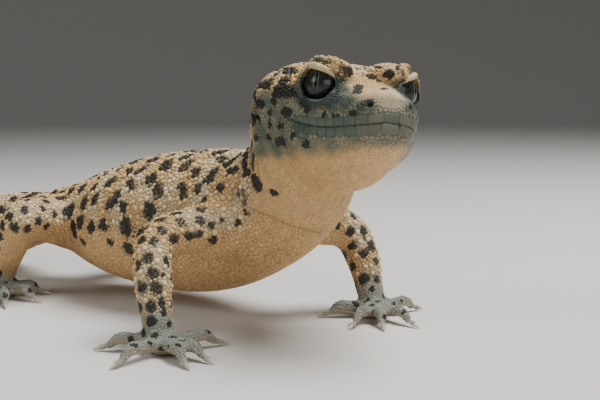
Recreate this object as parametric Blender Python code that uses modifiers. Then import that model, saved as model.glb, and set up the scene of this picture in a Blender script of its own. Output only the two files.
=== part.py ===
"""A life-size leopard gecko, standing with its head raised and turned a little to its right.

The frame: +X is forward along the hips, +Y is the animal's left, +Z is up, and the floor is z = 0.
The whole body is modelled as one skin from lofts, tubes and ellipsoids, and then parted with thin cuts.
Lengths in the tables are millimetres; everything that Blender gets is in metres.
"""

import math

import bmesh
import bpy
import numpy as np
from mathutils import Matrix, Vector

MM = 0.001

# ---- driving dimensions, in millimetres -------------------------------------------------------------
CUT_GAP = 0.3  # between two parts of the body, and between an eye and its socket
VOXEL = 0.45  # grid of the fused skin
SMOOTHING = 6  # passes over the fused skin
SKIN_TRIANGLES = 4250
RING_POINTS = 28  # around a loft

EYE_RADIUS = 3.35
EYE_CENTRE = (0.5, 6.4, 0.1)  # forward, sideways, up, from the point between the eyes
EYE_TURN = math.radians(40)  # the eye looks this far out from straight ahead
LID_OPENING = 3.1  # radius
LID_THICKNESS = 0.75

HEAD_PLACE = Vector((25.7, -7.7, 43.9))  # the point between the eyes
HEAD_YAW, HEAD_PITCH, HEAD_ROLL = (math.radians(a) for a in (-33, 2.5, -5))

MOUTH_CORNER = -3.4  # how far forward of the eyes; negative is behind
CLAW_LENGTH, CLAW_WIDTH = 1.3, 0.75

# ---- the body's own sections: x, y, z, half width, rise, drop ---------------------------------------
TAIL = [
    (-146.5, 17.5, 1.0, 0.9, 0.8, 1.2),
    (-140.5, 14.8, 1.6, 2.0, 1.9, 1.9),
    (-132.5, 11.3, 3.0, 3.5, 3.2, 3.3),
    (-122.5, 7.4, 4.6, 5.4, 4.9, 4.9),
    (-111.5, 4.2, 6.3, 7.2, 6.5, 6.6),
    (-100.0, 2.2, 8.4, 8.4, 7.5, 7.6),
    (-88.5, 1.2, 11.2, 8.5, 7.5, 7.6),
    (-78.0, 0.8, 13.6, 7.0, 6.4, 6.7),
    (-70.5, 0.6, 14.8, 5.9, 5.8, 6.2),
]
TRUNK = [
    (-64.0, 0.5, 15.2, 7.4, 6.9, 7.6),
    (-57.0, 0.4, 15.8, 9.0, 7.9, 8.8),
    (-49.0, 0.3, 16.2, 10.8, 9.9, 11.6),
    (-41.0, 0.5, 16.6, 13.6, 12.0, 13.2),
    (-31.0, 0.7, 17.4, 14.6, 13.4, 14.9),
    (-20.5, 0.6, 18.9, 14.2, 13.4, 15.9),
    (-10.5, 0.0, 20.9, 12.6, 12.2, 15.4),
    (-2.0, -1.2, 23.4, 11.2, 10.0, 14.0),
]
NECK = [
    (4.8, -2.0, 27.8, 10.2, 8.4, 13.8),
    (9.6, -2.4, 32.6, 9.8, 8.4, 12.2),
    (13.6, -3.2, 37.0, 9.6, 7.4, 9.6),
    (18.0, -4.8, 39.6, 8.0, 5.0, 7.6),
]

# ---- the head: forward, half width, level of the widest line, top, bottom ---------------------------
HEAD = [
    (15.2, 1.9, -5.0, -3.9, -7.2),
    (14.5, 3.5, -5.0, -2.9, -8.4),
    (13.0, 5.0, -5.0, -2.0, -9.4),
    (10.0, 6.6, -5.0, -0.9, -10.8),
    (6.0, 8.4, -5.0, 0.4, -12.2),
    (1.5, 10.2, -5.0, 1.9, -13.4),
    (-3.0, 11.7, -4.9, 3.3, -14.6),
    (-8.0, 12.8, -4.7, 4.7, -15.6),
    (-13.0, 13.5, -4.5, 5.2, -15.8),
    (-17.5, 13.8, -4.5, 4.9, -15.4),
    (-21.5, 13.0, -5.0, 3.6, -14.4),
    (-25.5, 10.8, -5.6, 1.2, -13.2),
    (-28.5, 7.6, -6.4, -2.0, -11.6),
]
# Ellipsoids that the fused head takes in: centre (forward, sideways, up) and radii. Sideways ones are mirrored.
HEAD_MASSES = {
    "throat": ((-7.5, 0.0, -11.4), (12.0, 8.4, 6.0)),
    "brow": ((-0.8, 5.0, 2.7), (6.6, 3.5, 2.1)),
    "jaw_muscle": ((-12.0, 8.6, -4.6), (6.5, 4.9, 6.2)),
    "nose": ((12.9, 2.5, -3.1), (2.0, 1.8, 1.3)),
}
EAR = ((-19.4, 13.4, -4.2), (0.9, 2.6, 2.4))
NOSTRIL = ((14.1, 3.2, -3.5), (0.6, 1.0, 0.6))

# The mouth's cut, from the snout to the corner and then down behind the jaw: forward, up.
MOUTH_PATH = [
    (18.0, -6.0),
    (14.0, -6.0),
    (10.0, -6.6),
    (6.0, -7.1),
    (1.0, -6.9),
    (MOUTH_CORNER, -5.6),
    (-6.5, -7.6),
    (-10.5, -11.5),
    (-15.0, -14.6),
    (-19.8, -16.8),
]
NAPE = (-22.3, -9.5)  # where the head ends: forward, up
NAPE_SKEW, NAPE_SLOPE = 0.28, 0.55  # how the cut behind the head leans sideways and upward

# ---- legs: joints with the radius there, then the foot ----------------------------------------------
# The toes go from the inner one to the outer one: angle from +X in degrees, length from the palm's middle.
LEGS = {
    "front_right": {
        "parts": ("upper_arm", "forearm", "hand"),
        "root_way": (0.0, -1.0, 0.0),
        "joints": [
            ((-2.0, -6.0, 19.6), 6.4),
            ((-4.2, -16.5, 18.8), 4.7),
            ((-5.8, -25.4, 18.4), 3.6),
            ((-2.6, -28.0, 11.2), 3.6),
            ((-0.2, -29.2, 4.8), 2.8),
            ((0.8, -29.4, 2.4), 2.4),
        ],
        "palm": ((1.2, -29.3, 1.55), 3.3),
        "toes": [(68, 9.6), (1, 9.4), (-23, 9.8), (-83, 10.2), (-147, 9.6)],
        "toe_radius": 1.15,
    },
    "front_left": {
        "parts": ("upper_arm", "forearm", "hand"),
        "root_way": (0.1, 1.0, -0.1),
        "joints": [
            ((0.0, 4.5, 20.0), 6.4),
            ((2.6, 11.5, 18.4), 4.9),
            ((5.4, 17.1, 16.4), 4.0),
            ((8.2, 17.6, 10.6), 3.7),
            ((10.6, 16.6, 4.6), 2.8),
            ((11.6, 16.2, 2.4), 2.4),
        ],
        "palm": ((12.2, 15.8, 1.55), 3.3),
        "toes": [(-137, 8.8), (-76, 10.0), (-46, 10.0), (-14, 10.2), (73, 9.6)],
        "toe_radius": 1.15,
    },
    "hind_right": {
        "parts": ("thigh", "shank", "foot"),
        "root_way": (-0.2, -1.0, 0.1),
        "joints": [
            ((-57.5, -3.0, 15.0), 6.6),
            ((-54.0, -13.0, 16.8), 5.4),
            ((-50.2, -21.2, 18.0), 4.2),
            ((-56.4, -19.4, 11.8), 3.9),
            ((-63.2, -17.4, 5.0), 2.9),
            ((-62.4, -18.2, 2.4), 2.6),
        ],
        "palm": ((-61.2, -19.2, 1.7), 3.6),
        "toes": [(48, 8.0), (4, 10.6), (-30, 12.0), (-64, 12.4), (-130, 9.6)],
        "toe_radius": 1.25,
    },
    "hind_left": {
        "parts": ("thigh", "shank", "foot"),
        "root_way": (-0.2, 1.0, 0.0),
        "joints": [
            ((-57.5, 4.0, 15.0), 6.6),
            ((-57.0, 14.0, 15.4), 5.4),
            ((-56.0, 23.0, 14.8), 4.2),
            ((-63.2, 24.2, 9.8), 3.8),
            ((-70.4, 25.4, 4.8), 2.9),
            ((-69.4, 26.0, 2.4), 2.6),
        ],
        "palm": ((-67.8, 26.8, 1.7), 3.6),
        "toes": [(-38, 8.0), (8, 10.6), (40, 12.0), (74, 12.4), (136, 9.6)],
        "toe_radius": 1.25,
    },
}
TOE_RISE = 2.9  # height of a toe's last knuckle

# ---- colours ---------------------------------------------------------------------------------------
CREAM, SAND, BLUE_GREY = (0.62, 0.47, 0.27), (0.60, 0.46, 0.30), (0.38, 0.42, 0.40)
EYE_GREY, HORN = (0.12, 0.13, 0.13), (0.55, 0.48, 0.40)


def clear_scene():
    for obj in list(bpy.data.objects):
        bpy.data.objects.remove(obj)


def new_collection(name):
    made = bpy.data.collections.new(name)
    bpy.context.scene.collection.children.link(made)
    return made


def new_material(name, colour, roughness):
    made = bpy.data.materials.new(name)
    made.use_nodes = True
    surface = made.node_tree.nodes["Principled BSDF"]
    surface.inputs["Base Color"].default_value = (*colour, 1.0)
    surface.inputs["Roughness"].default_value = roughness
    surface.inputs["Metallic"].default_value = 0.0
    return made


def head_matrix():
    """From the head's own axes (forward, left, up, in millimetres) to the world, in metres."""
    turn = (
        Matrix.Rotation(HEAD_YAW, 4, "Z")
        @ Matrix.Rotation(-HEAD_PITCH, 4, "Y")
        @ Matrix.Rotation(HEAD_ROLL, 4, "X")
    )
    return Matrix.Scale(MM, 4) @ Matrix.Translation(HEAD_PLACE) @ turn


def add_mesh(name, mesh, collection):
    made = bpy.data.objects.new(name, mesh)
    collection.objects.link(made)
    return made


def mesh_of(name, bm):
    mesh = bpy.data.meshes.new(name)
    bmesh.ops.recalc_face_normals(bm, faces=bm.faces)
    bm.to_mesh(mesh)
    bm.free()
    return mesh


def loft(name, rings, collection):
    """A closed surface through rings of equally many points, with a point fan on each end."""
    bm = bmesh.new()
    rows = [[bm.verts.new(p) for p in ring] for ring in rings]
    for row, following in zip(rows, rows[1:]):
        for i in range(len(row)):
            j = (i + 1) % len(row)
            bm.faces.new((row[i], row[j], following[j], following[i]))
    for row in (rows[0], rows[-1]):
        bm.faces.new(row)
    return add_mesh(name, mesh_of(name, bm), collection)


def smooth_stations(stations, per_span=4):
    """More stations between the given ones, on a Catmull-Rom spline through every column."""
    rows = np.array(stations, float)
    rows = np.vstack([2 * rows[0] - rows[1], rows, 2 * rows[-1] - rows[-2]])
    made = []
    for i in range(1, len(rows) - 2):
        a, b, c, d = rows[i - 1 : i + 3]
        for t in np.linspace(0, 1, per_span, endpoint=False):
            made.append(
                0.5
                * (
                    2 * b
                    + (c - a) * t
                    + (2 * a - 5 * b + 4 * c - d) * t**2
                    + (3 * b - a - 3 * c + d) * t**3
                )
            )
    made.append(rows[-2])
    return made


def body_loft(collection):
    """Tail, trunk and neck: egg-shaped rings square to the spine."""
    stations = smooth_stations(TAIL + TRUNK + NECK)
    centres = [Vector(s[:3]) for s in stations]
    rings = []
    for i, station in enumerate(stations):
        before, after = centres[max(i - 1, 0)], centres[min(i + 1, len(centres) - 1)]
        forward = (after - before).normalized()
        side = Vector((0, 0, 1)).cross(forward).normalized()
        up = forward.cross(side)
        width, rise, drop = station[3:]
        ring = []
        for k in range(RING_POINTS):
            angle = 2 * math.pi * k / RING_POINTS
            height = math.sin(angle) * (rise if math.sin(angle) > 0 else drop)
            ring.append(
                MM * (centres[i] + side * (math.cos(angle) * width) + up * height)
            )
        rings.append(ring)
    return loft("body_loft", rings, collection)


def squarish(angle):
    """A point of a circle, moved out toward the corners."""
    c, s = math.cos(angle), math.sin(angle)
    power = 0.78
    return math.copysign(abs(c) ** power, c), math.copysign(abs(s) ** power, s)


def head_loft(collection):
    """The skull and jaws: rings square to the head's own forward axis."""
    to_world = head_matrix()
    rings = []
    for forward, width, level, top, bottom in smooth_stations(HEAD, per_span=3):
        ring = []
        for k in range(RING_POINTS):
            across, rise = squarish(2 * math.pi * k / RING_POINTS)
            height = rise * (top - level if rise > 0 else level - bottom)
            ring.append(to_world @ Vector((forward, across * width, level + height)))
        rings.append(ring)
    return loft("head_loft", rings, collection)


def ellipsoid(name, matrix, centre, radii, collection, segments=24):
    """An ellipsoid in the axes that the matrix gives, which also sets the unit of its centre and radii."""
    bm = bmesh.new()
    place = matrix @ Matrix.Translation(Vector(centre)) @ Matrix.Diagonal((*radii, 1.0))
    bmesh.ops.create_uvsphere(
        bm, u_segments=segments, v_segments=segments // 2, radius=1.0, matrix=place
    )
    return add_mesh(name, mesh_of(name, bm), collection)


def tube(name, points, radii, collection, steps=6):
    """A round limb through these points, with its own radius at each: a curve with a bevel, made a mesh."""
    curve = bpy.data.curves.new(name, "CURVE")
    curve.dimensions = "3D"
    curve.bevel_depth = MM
    curve.bevel_resolution = 4
    curve.use_fill_caps = True
    curve.resolution_u = steps
    spline = curve.splines.new("NURBS")
    spline.points.add(len(points) - 1)
    for slot, place, radius in zip(spline.points, points, radii):
        slot.co = (*(MM * Vector(place)), 1.0)
        slot.radius = radius
    spline.order_u = 3
    spline.use_endpoint_u = True
    guide = bpy.data.objects.new(name, curve)
    collection.objects.link(guide)
    bpy.context.view_layer.update()
    graph = bpy.context.evaluated_depsgraph_get()
    mesh = bpy.data.meshes.new_from_object(guide.evaluated_get(graph))
    bpy.data.objects.remove(guide)
    bm = bmesh.new()
    bm.from_mesh(mesh)
    bmesh.ops.remove_doubles(bm, verts=bm.verts, dist=1e-6)
    bm.to_mesh(mesh)
    bm.free()
    return add_mesh(name, mesh, collection)


def toe_points(palm, angle_deg, length):
    """A toe's line from the palm: out level, up over the last knuckle and down to its tip."""
    angle = math.radians(angle_deg)
    way = Vector((math.cos(angle), math.sin(angle), 0))
    base = Vector((palm[0], palm[1], 0))
    shares_and_heights = ((0.1, 2.2), (0.5, 1.9), (0.82, TOE_RISE), (1.0, 0.6))
    return [
        base + way * (length * share) + Vector((0, 0, height))
        for share, height in shares_and_heights
    ]


def leg_masses(name, leg, collection):
    """The solids of one leg: the limb, the palm and five toes."""
    points = [p for p, _ in leg["joints"]]
    radii = [r for _, r in leg["joints"]]
    made = [tube(f"{name}_limb", points, radii, collection)]
    centre, radius = leg["palm"]
    world = Matrix.Scale(MM, 4)
    palm_radii = (radius, radius, 2.0)
    made.append(ellipsoid(f"{name}_palm", world, centre, palm_radii, collection))
    thick = leg["toe_radius"]
    for number, (angle, length) in enumerate(leg["toes"], 1):
        line = toe_points(centre, angle, length)
        widths = (1.45 * thick, 1.05 * thick, 1.15 * thick, 0.7 * thick)
        made.append(tube(f"{name}_toe_{number}", line, widths, collection))
    return made


def head_masses(collection):
    """The head's loft with the ellipsoids on it, each sideways one on both sides."""
    to_world = head_matrix()
    made = [head_loft(collection)]
    for name, (centre, radii) in HEAD_MASSES.items():
        for side in (1, -1) if centre[1] else (1,):
            place = (centre[0], centre[1] * side, centre[2])
            made.append(ellipsoid(name, to_world, place, radii, collection))
    orbit = (EYE_RADIUS + LID_THICKNESS + CUT_GAP,) * 3
    for side in (1, -1):
        place = (EYE_CENTRE[0], EYE_CENTRE[1] * side, EYE_CENTRE[2])
        made.append(ellipsoid("orbit", to_world, place, orbit, collection))
    return made


def apply_modifiers(obj):
    graph = bpy.context.evaluated_depsgraph_get()
    mesh = bpy.data.meshes.new_from_object(obj.evaluated_get(graph))
    obj.modifiers.clear()
    obj.data = mesh


def fused(name, masses, collection):
    """One smooth closed skin round all these solids."""
    bm = bmesh.new()
    for mass in masses:
        bm.from_mesh(mass.data)
        bpy.data.objects.remove(mass)
    mesh = bpy.data.meshes.new(name)
    bm.to_mesh(mesh)
    bm.free()
    skin = add_mesh(name, mesh, collection)
    remesh = skin.modifiers.new("fuse", "REMESH")
    remesh.mode = "VOXEL"
    remesh.voxel_size = VOXEL * MM
    smooth = skin.modifiers.new("smooth", "SMOOTH")
    smooth.factor = 0.5
    smooth.iterations = SMOOTHING
    apply_modifiers(skin)
    skin.data.calc_loop_triangles()
    thin = skin.modifiers.new("thin", "DECIMATE")
    thin.ratio = SKIN_TRIANGLES / len(skin.data.loop_triangles)
    thin.use_collapse_triangulate = True
    apply_modifiers(skin)
    return skin


def box(name, low, high, collection):
    bm = bmesh.new()
    size, middle = Vector(high) - Vector(low), (Vector(high) + Vector(low)) / 2
    place = Matrix.Translation(MM * middle) @ Matrix.Diagonal((*(MM * size), 1.0))
    bmesh.ops.create_cube(bm, size=1.0, matrix=place)
    return add_mesh(name, mesh_of(name, bm), collection)


def disc(name, centre, normal, radius, collection, thickness=CUT_GAP):
    """A thin round slab that parts a limb at this point."""
    bm = bmesh.new()
    turn = Vector(normal).to_track_quat("Z", "Y").to_matrix().to_4x4()
    bmesh.ops.create_cone(
        bm,
        cap_ends=True,
        segments=14,
        radius1=radius * MM,
        radius2=radius * MM,
        depth=thickness * MM,
        matrix=Matrix.Translation(MM * Vector(centre)) @ turn,
    )
    return add_mesh(name, mesh_of(name, bm), collection)


def mouth_sheet(collection):
    """The thin bent slab that parts the lower jaw from the head; its back edge follows the nape's cut."""
    to_world = head_matrix()
    half = 16.0
    corner = MOUTH_PATH.index((MOUTH_CORNER, -5.6))
    upper, lower = [], []
    for i, (forward, up) in enumerate(MOUTH_PATH):
        a = Vector(MOUTH_PATH[max(i - 1, 0)])
        b = Vector(MOUTH_PATH[min(i + 1, len(MOUTH_PATH) - 1)])
        along = (b - a).normalized()
        across = Vector((-along.y, along.x)) * (CUT_GAP / 2)
        lean = NAPE_SKEW * max(i - corner, 0) / (len(MOUTH_PATH) - 1 - corner)
        upper.append((forward + across.x, up + across.y, lean))
        lower.append((forward - across.x, up - across.y, lean))
    outline = upper + lower[::-1]
    rings = [
        [to_world @ Vector((forward - side * lean, side, up)) for forward, up, lean in outline]
        for side in np.linspace(-half, half, 9)
    ]
    return loft("mouth_sheet", rings, collection)


def reach(obj):
    """The low and high corners of an object's box."""
    places = np.array([v.co for v in obj.data.vertices])
    return places.min(axis=0), places.max(axis=0)


def meet(a, b):
    (low_a, high_a), (low_b, high_b) = reach(a), reach(b)
    return bool(np.all(low_a <= high_b) and np.all(low_b <= high_a))


def cut(pieces, cutters, collection):
    """Takes each cutter out of the pieces it meets, and splits what falls apart."""
    for cutter in cutters:
        cutter.hide_render = True
        cutter.display_type = "WIRE"
        after = []
        for piece in pieces:
            if not meet(piece, cutter):
                after.append(piece)
                continue
            modifier = piece.modifiers.new("cut", "BOOLEAN")
            modifier.operation = "DIFFERENCE"
            modifier.solver = "EXACT"
            modifier.object = cutter
            bpy.context.view_layer.update()
            apply_modifiers(piece)
            after += split(piece, collection)
        pieces = after
    return pieces


def socket_cutters(collection):
    """The round opening between the lids, and the eye's socket behind it."""
    to_world = head_matrix()
    made = []
    for side in (1, -1):
        centre = Vector((EYE_CENTRE[0], EYE_CENTRE[1] * side, EYE_CENTRE[2]))
        look = Vector((math.cos(EYE_TURN), side * math.sin(EYE_TURN), 0.04))
        depth = EYE_RADIUS + 3.0
        middle = to_world @ (centre + look * (depth / 2 + 0.6)) / MM
        way = to_world.to_3x3() @ look
        made.append(disc("opening", middle, way, LID_OPENING, collection, depth))
        room = (EYE_RADIUS + CUT_GAP,) * 3
        made.append(ellipsoid("socket", to_world, centre, room, collection, 18))
    return made


def pit_cutters(collection):
    """Ear openings and nostrils."""
    to_world = head_matrix()
    made = []
    for name, (centre, radii) in (("ear", EAR), ("nostril", NOSTRIL)):
        for side in (1, -1):
            place = (centre[0], centre[1] * side, centre[2])
            made.append(ellipsoid(name, to_world, place, radii, collection, 12))
    return made


def between(a, b, share):
    return Vector(a) + (Vector(b) - Vector(a)) * share


def limb_cutters(name, leg, collection):
    """Discs at the shoulder or hip, at the elbow or knee, and at the wrist or ankle."""
    points = [Vector(p) for p, _ in leg["joints"]]
    radii = [r for _, r in leg["joints"]]
    root = between(points[0], points[1], 0.92)
    bend, before, after = points[2], points[1], points[3]
    into, out = (bend - before).normalized(), (after - bend).normalized()
    inside = bend + (out - into).normalized() * 2.4
    made = [
        disc(f"{name}_root", root, leg["root_way"], radii[1] * 1.55, collection),
        disc(f"{name}_bend", inside, into + out, radii[2] * 2.4, collection),
    ]
    if leg["parts"][2] == "hand":
        at, way, radius = between(after, points[4], 0.75), points[4] - after, 5.4
    else:
        at, way, radius = points[4] + Vector((0.6, 0.0, -0.6)), Vector((0, 0, 1)), 5.6
    made.append(disc(f"{name}_wrist", at, way, radius, collection))
    return made


def spine_cutters(collection):
    """Discs behind the head, at the root of the neck, behind the hips and along the tail."""
    to_world = head_matrix()
    nape = to_world @ Vector((NAPE[0], 0.0, NAPE[1])) / MM
    nape_way = to_world.to_3x3() @ Vector((1.0, NAPE_SKEW, NAPE_SLOPE))
    rows = [("nape", nape, nape_way, 24.0)]
    spine = [Vector(s[:3]) for s in TAIL + TRUNK + NECK]
    for name, x, radius in (
        ("collar", 4.0, 14.5),
        ("vent", -67.0, 11.0),
        ("tail_a", -94.0, 12.0),
        ("tail_b", -119.0, 10.0),
    ):
        i = max(k for k in range(len(spine) - 1) if spine[k].x <= x)
        share = (x - spine[i].x) / (spine[i + 1].x - spine[i].x)
        rows.append(
            (name, between(spine[i], spine[i + 1], share), spine[i + 1] - spine[i], radius)
        )
    return [disc(name, at, way, radius, collection) for name, at, way, radius in rows]


def node_places():
    """A point inside each part of the body, by name."""
    to_world = head_matrix()
    places = {
        "head": to_world @ Vector((-7.0, 0.0, -2.0)),
        "lower_jaw": to_world @ Vector((4.0, 0.0, -10.0)),
        "neck": MM * Vector((7.0, -1.5, 29.0)),
        "trunk": MM * Vector((-28.0, 0.6, 17.5)),
        "tail_base": MM * Vector((-80.0, 0.9, 13.0)),
        "tail_middle": MM * Vector((-106.0, 3.2, 7.2)),
        "tail_tip": MM * Vector((-130.0, 10.4, 3.3)),
    }
    for name, leg in LEGS.items():
        points = [p for p, _ in leg["joints"]]
        upper, lower, end = leg["parts"]
        places[f"{name}_{upper}"] = MM * between(points[1], points[2], 0.4)
        places[f"{name}_{lower}"] = MM * Vector(points[3])
        places[f"{name}_{end}"] = MM * Vector(leg["palm"][0])
    return places


def shells_of(mesh):
    """The mesh's separate shells, as lists of vertex numbers."""
    bm = bmesh.new()
    bm.from_mesh(mesh)
    left, shells = set(bm.verts), []
    while left:
        stack, shell = [left.pop()], set()
        while stack:
            vert = stack.pop()
            shell.add(vert.index)
            for edge in vert.link_edges:
                other = edge.other_vert(vert)
                if other in left:
                    left.remove(other)
                    stack.append(other)
        shells.append(shell)
    bm.free()
    return sorted(shells, key=len, reverse=True)


def split(obj, collection):
    """One object for each separate shell; crumbs under half a cubic millimetre are dropped."""
    shells = shells_of(obj.data)
    if len(shells) == 1:
        return [obj]
    made = []
    for shell in shells:
        bm = bmesh.new()
        bm.from_mesh(obj.data)
        gone = [v for v in bm.verts if v.index not in shell]
        bmesh.ops.delete(bm, geom=gone, context="VERTS")
        if abs(bm.calc_volume()) < 0.5 * MM**3:
            bm.free()
            continue
        made.append(add_mesh("piece", mesh_of("piece", bm), collection))
    bpy.data.objects.remove(obj)
    return made


def name_the_pieces(pieces, materials):
    """Names every piece after the part of the body whose place is nearest to its middle."""
    places = node_places()
    for piece in sorted(pieces, key=lambda p: len(p.data.vertices), reverse=True):
        middle = sum((v.co for v in piece.data.vertices), Vector())
        middle /= len(piece.data.vertices)
        name = min(places, key=lambda n: (places[n] - middle).length)
        places.pop(name)
        bm = bmesh.new()
        bm.from_mesh(piece.data)
        bmesh.ops.triangulate(bm, faces=bm.faces)
        bm.to_mesh(piece.data)
        bm.free()
        piece.name = name
        piece.data.name = name
        piece.data.materials.clear()
        piece.data.materials.append(materials[name])
    if places:
        raise RuntimeError(f"no part of the body lies at {sorted(places)}")


def add_eyes(collection, material):
    to_world = head_matrix()
    for side, name in ((1, "eye_left"), (-1, "eye_right")):
        place = (EYE_CENTRE[0], EYE_CENTRE[1] * side, EYE_CENTRE[2])
        eye = ellipsoid(name, to_world, place, (EYE_RADIUS,) * 3, collection, 20)
        eye.data.materials.append(material)
        eye.data.shade_smooth()


def add_claws(collection, material):
    """A small cone on each toe, its point down and forward, clear of the toe by the usual gap."""
    for name, leg in LEGS.items():
        for number, (angle, length) in enumerate(leg["toes"], 1):
            line = toe_points(leg["palm"][0], angle, length)
            way = (line[-1] - line[0]).normalized()
            root = line[-1] + way * (leg["toe_radius"] * 0.7 + CUT_GAP + 0.15)
            root.z = 0.65
            way.z = -0.3
            way.normalize()
            bm = bmesh.new()
            turn = way.to_track_quat("Z", "Y").to_matrix().to_4x4()
            middle = root + way * (CLAW_LENGTH / 2)
            bmesh.ops.create_cone(
                bm,
                cap_ends=True,
                segments=8,
                radius1=CLAW_WIDTH / 2 * MM,
                radius2=0.12 * MM,
                depth=CLAW_LENGTH * MM,
                matrix=Matrix.Translation(MM * middle) @ turn,
            )
            claw = add_mesh(f"{name}_claw_{number}", mesh_of("claw", bm), collection)
            claw.data.materials.append(material)


def node_materials():
    """The body's finish by node: sandy above, bluish on the toes."""
    sand = new_material("skin_body", SAND, 0.6)
    cream = new_material("skin_head", CREAM, 0.55)
    blue = new_material("skin_feet", BLUE_GREY, 0.55)
    chosen = {}
    for name in node_places():
        ends = name.endswith(("hand", "foot"))
        chosen[name] = (
            cream if name in ("head", "lower_jaw") else blue if ends else sand
        )
    return chosen


def recentre(collection):
    """Puts the origin under the middle of the whole box, on the floor."""
    corners = np.array([v.co for obj in collection.objects for v in obj.data.vertices])
    low, high = corners.min(axis=0), corners.max(axis=0)
    shift = Vector((-(low[0] + high[0]) / 2, -(low[1] + high[1]) / 2, -low[2]))
    for obj in collection.objects:
        obj.data.transform(Matrix.Translation(shift))


def main():
    clear_scene()
    gecko = new_collection("leopard_gecko")
    tools = new_collection("cutters")
    tools.hide_render = True

    masses = [body_loft(gecko), *head_masses(gecko)]
    for name, leg in LEGS.items():
        masses += leg_masses(name, leg, gecko)
    body = fused("body", masses, gecko)

    floor = box("floor", (-220, -120, -20), (120, 120, 0), tools)
    cutters = [floor, *socket_cutters(tools), *pit_cutters(tools)]
    cutters += [*spine_cutters(tools), mouth_sheet(tools)]
    for name, leg in LEGS.items():
        cutters += limb_cutters(name, leg, tools)
    pieces = cut([body], cutters, gecko)
    name_the_pieces(pieces, node_materials())

    add_eyes(gecko, new_material("eye", EYE_GREY, 0.1))
    add_claws(gecko, new_material("claw", HORN, 0.4))
    for cutter in list(tools.objects):
        bpy.data.objects.remove(cutter)
    recentre(gecko)


main()
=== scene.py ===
# %% [markdown]
# # A leopard gecko in its scales
# A leopard gecko is a small ground lizard with real eyelids, a fat ringed tail and a skin of tiny
# round scales with larger beads among them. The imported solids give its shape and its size.
# This script grows one skin over them, paints the markings, and sets every scale on that skin.

# %% Load the fixed frame
import math
import time

import bpy
import numpy as np
from mathutils import Matrix, Vector
from mathutils.bvhtree import BVHTree
from mathutils.kdtree import KDTree


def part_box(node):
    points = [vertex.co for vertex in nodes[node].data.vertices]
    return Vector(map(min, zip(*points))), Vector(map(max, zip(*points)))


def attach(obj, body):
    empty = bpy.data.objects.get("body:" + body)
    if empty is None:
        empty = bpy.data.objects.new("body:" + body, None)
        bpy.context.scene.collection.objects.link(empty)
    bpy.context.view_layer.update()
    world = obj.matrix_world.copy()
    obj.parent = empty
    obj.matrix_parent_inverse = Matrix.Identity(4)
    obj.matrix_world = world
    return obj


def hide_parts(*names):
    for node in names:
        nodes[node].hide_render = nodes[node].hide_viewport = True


MM = 0.001
started = time.time()
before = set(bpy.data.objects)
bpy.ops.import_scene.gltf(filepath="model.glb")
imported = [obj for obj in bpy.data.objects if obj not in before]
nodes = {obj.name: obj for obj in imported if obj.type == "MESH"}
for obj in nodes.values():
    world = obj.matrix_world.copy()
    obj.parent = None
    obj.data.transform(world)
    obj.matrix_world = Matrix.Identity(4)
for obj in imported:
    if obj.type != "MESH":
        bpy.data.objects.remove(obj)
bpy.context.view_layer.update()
bpy.ops.object.select_all(action="DESELECT")
print("solids loaded:", len(nodes), "nodes")


def clock():
    return f"({time.time() - started:.1f} s)"


# %% [markdown]
# ## Working in millimetres
# A gecko's scales are about half a millimetre wide, so the tables below are in millimetres.
# The meshes stay in metres. These helpers read a mesh into a table of numbers and write it back.
# A loop over a hundred thousand points is slow in Python, and a table is moved in one step.

# %% Read and write a mesh as tables
def read_table(items, name, width, kind=float):
    table = np.empty(len(items) * width, kind)
    items.foreach_get(name, table)
    return table.reshape(-1, width)


def read_points(obj):
    return read_table(obj.data.vertices, "co", 3) / MM


def write_points(obj, points):
    obj.data.vertices.foreach_set("co", (points * MM).ravel())
    obj.data.update()


def read_normals(obj):
    return read_table(obj.data.vertex_normals, "vector", 3)


def read_edges(obj):
    return read_table(obj.data.edges, "vertices", 2, np.int64)


def read_triangles(obj):
    obj.data.calc_loop_triangles()
    return read_table(obj.data.loop_triangles, "vertices", 3, np.int64)


def add_map(obj, name, places):
    """A UV map from one place for each point."""
    corners = read_table(obj.data.loops, "vertex_index", 1, np.int64).ravel()
    obj.data.uv_layers.new(name=name).data.foreach_set("uv", places[corners].ravel())


def shade_smooth(obj):
    obj.data.polygons.foreach_set("use_smooth", np.ones(len(obj.data.polygons), bool))


# %% Work on whole pieces
def add_object(name, data):
    made = bpy.data.objects.new(name, data)
    bpy.context.scene.collection.objects.link(made)
    return made


def activate(obj, *others):
    bpy.ops.object.select_all(action="DESELECT")
    for piece in (obj, *others):
        piece.select_set(True)
    bpy.context.view_layer.objects.active = obj


def join_to(obj, *others):
    activate(obj, *others)
    bpy.ops.object.join()


def edit_whole(obj, operator, **settings):
    activate(obj)
    bpy.ops.object.mode_set(mode="EDIT")
    bpy.ops.mesh.select_all(action="SELECT")
    operator(**settings)
    bpy.ops.object.mode_set(mode="OBJECT")


def finish_with(obj, kind, **settings):
    activate(obj)
    modifier = obj.modifiers.new(kind.lower(), kind)
    for key, value in settings.items():
        setattr(modifier, key, value)
    bpy.ops.object.modifier_apply(modifier=modifier.name)


# %% Soften a value or a table of values
def ramp(value, low, high):
    """Rises softly from 0 at low to 1 at high."""
    t = np.clip((value - low) / (high - low), 0, 1)
    return t * t * (3 - 2 * t)


def spread(values, edges, passes):
    """Each point takes the mean of itself and its neighbours, again and again."""
    count = np.bincount(edges.ravel(), minlength=len(values)).astype(float) + 1
    values = np.array(values, float)
    flat = values.reshape(len(values), -1)
    for _ in range(passes):
        total = flat.copy()
        for k in range(flat.shape[1]):
            total[:, k] += np.bincount(edges[:, 0], flat[edges[:, 1], k], len(flat))
            total[:, k] += np.bincount(edges[:, 1], flat[edges[:, 0], k], len(flat))
        flat = total / count[:, None]
    return flat.reshape(values.shape)


def unit(table):
    """Each row at length 1."""
    return table / np.linalg.norm(table, axis=1)[:, None]


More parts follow.
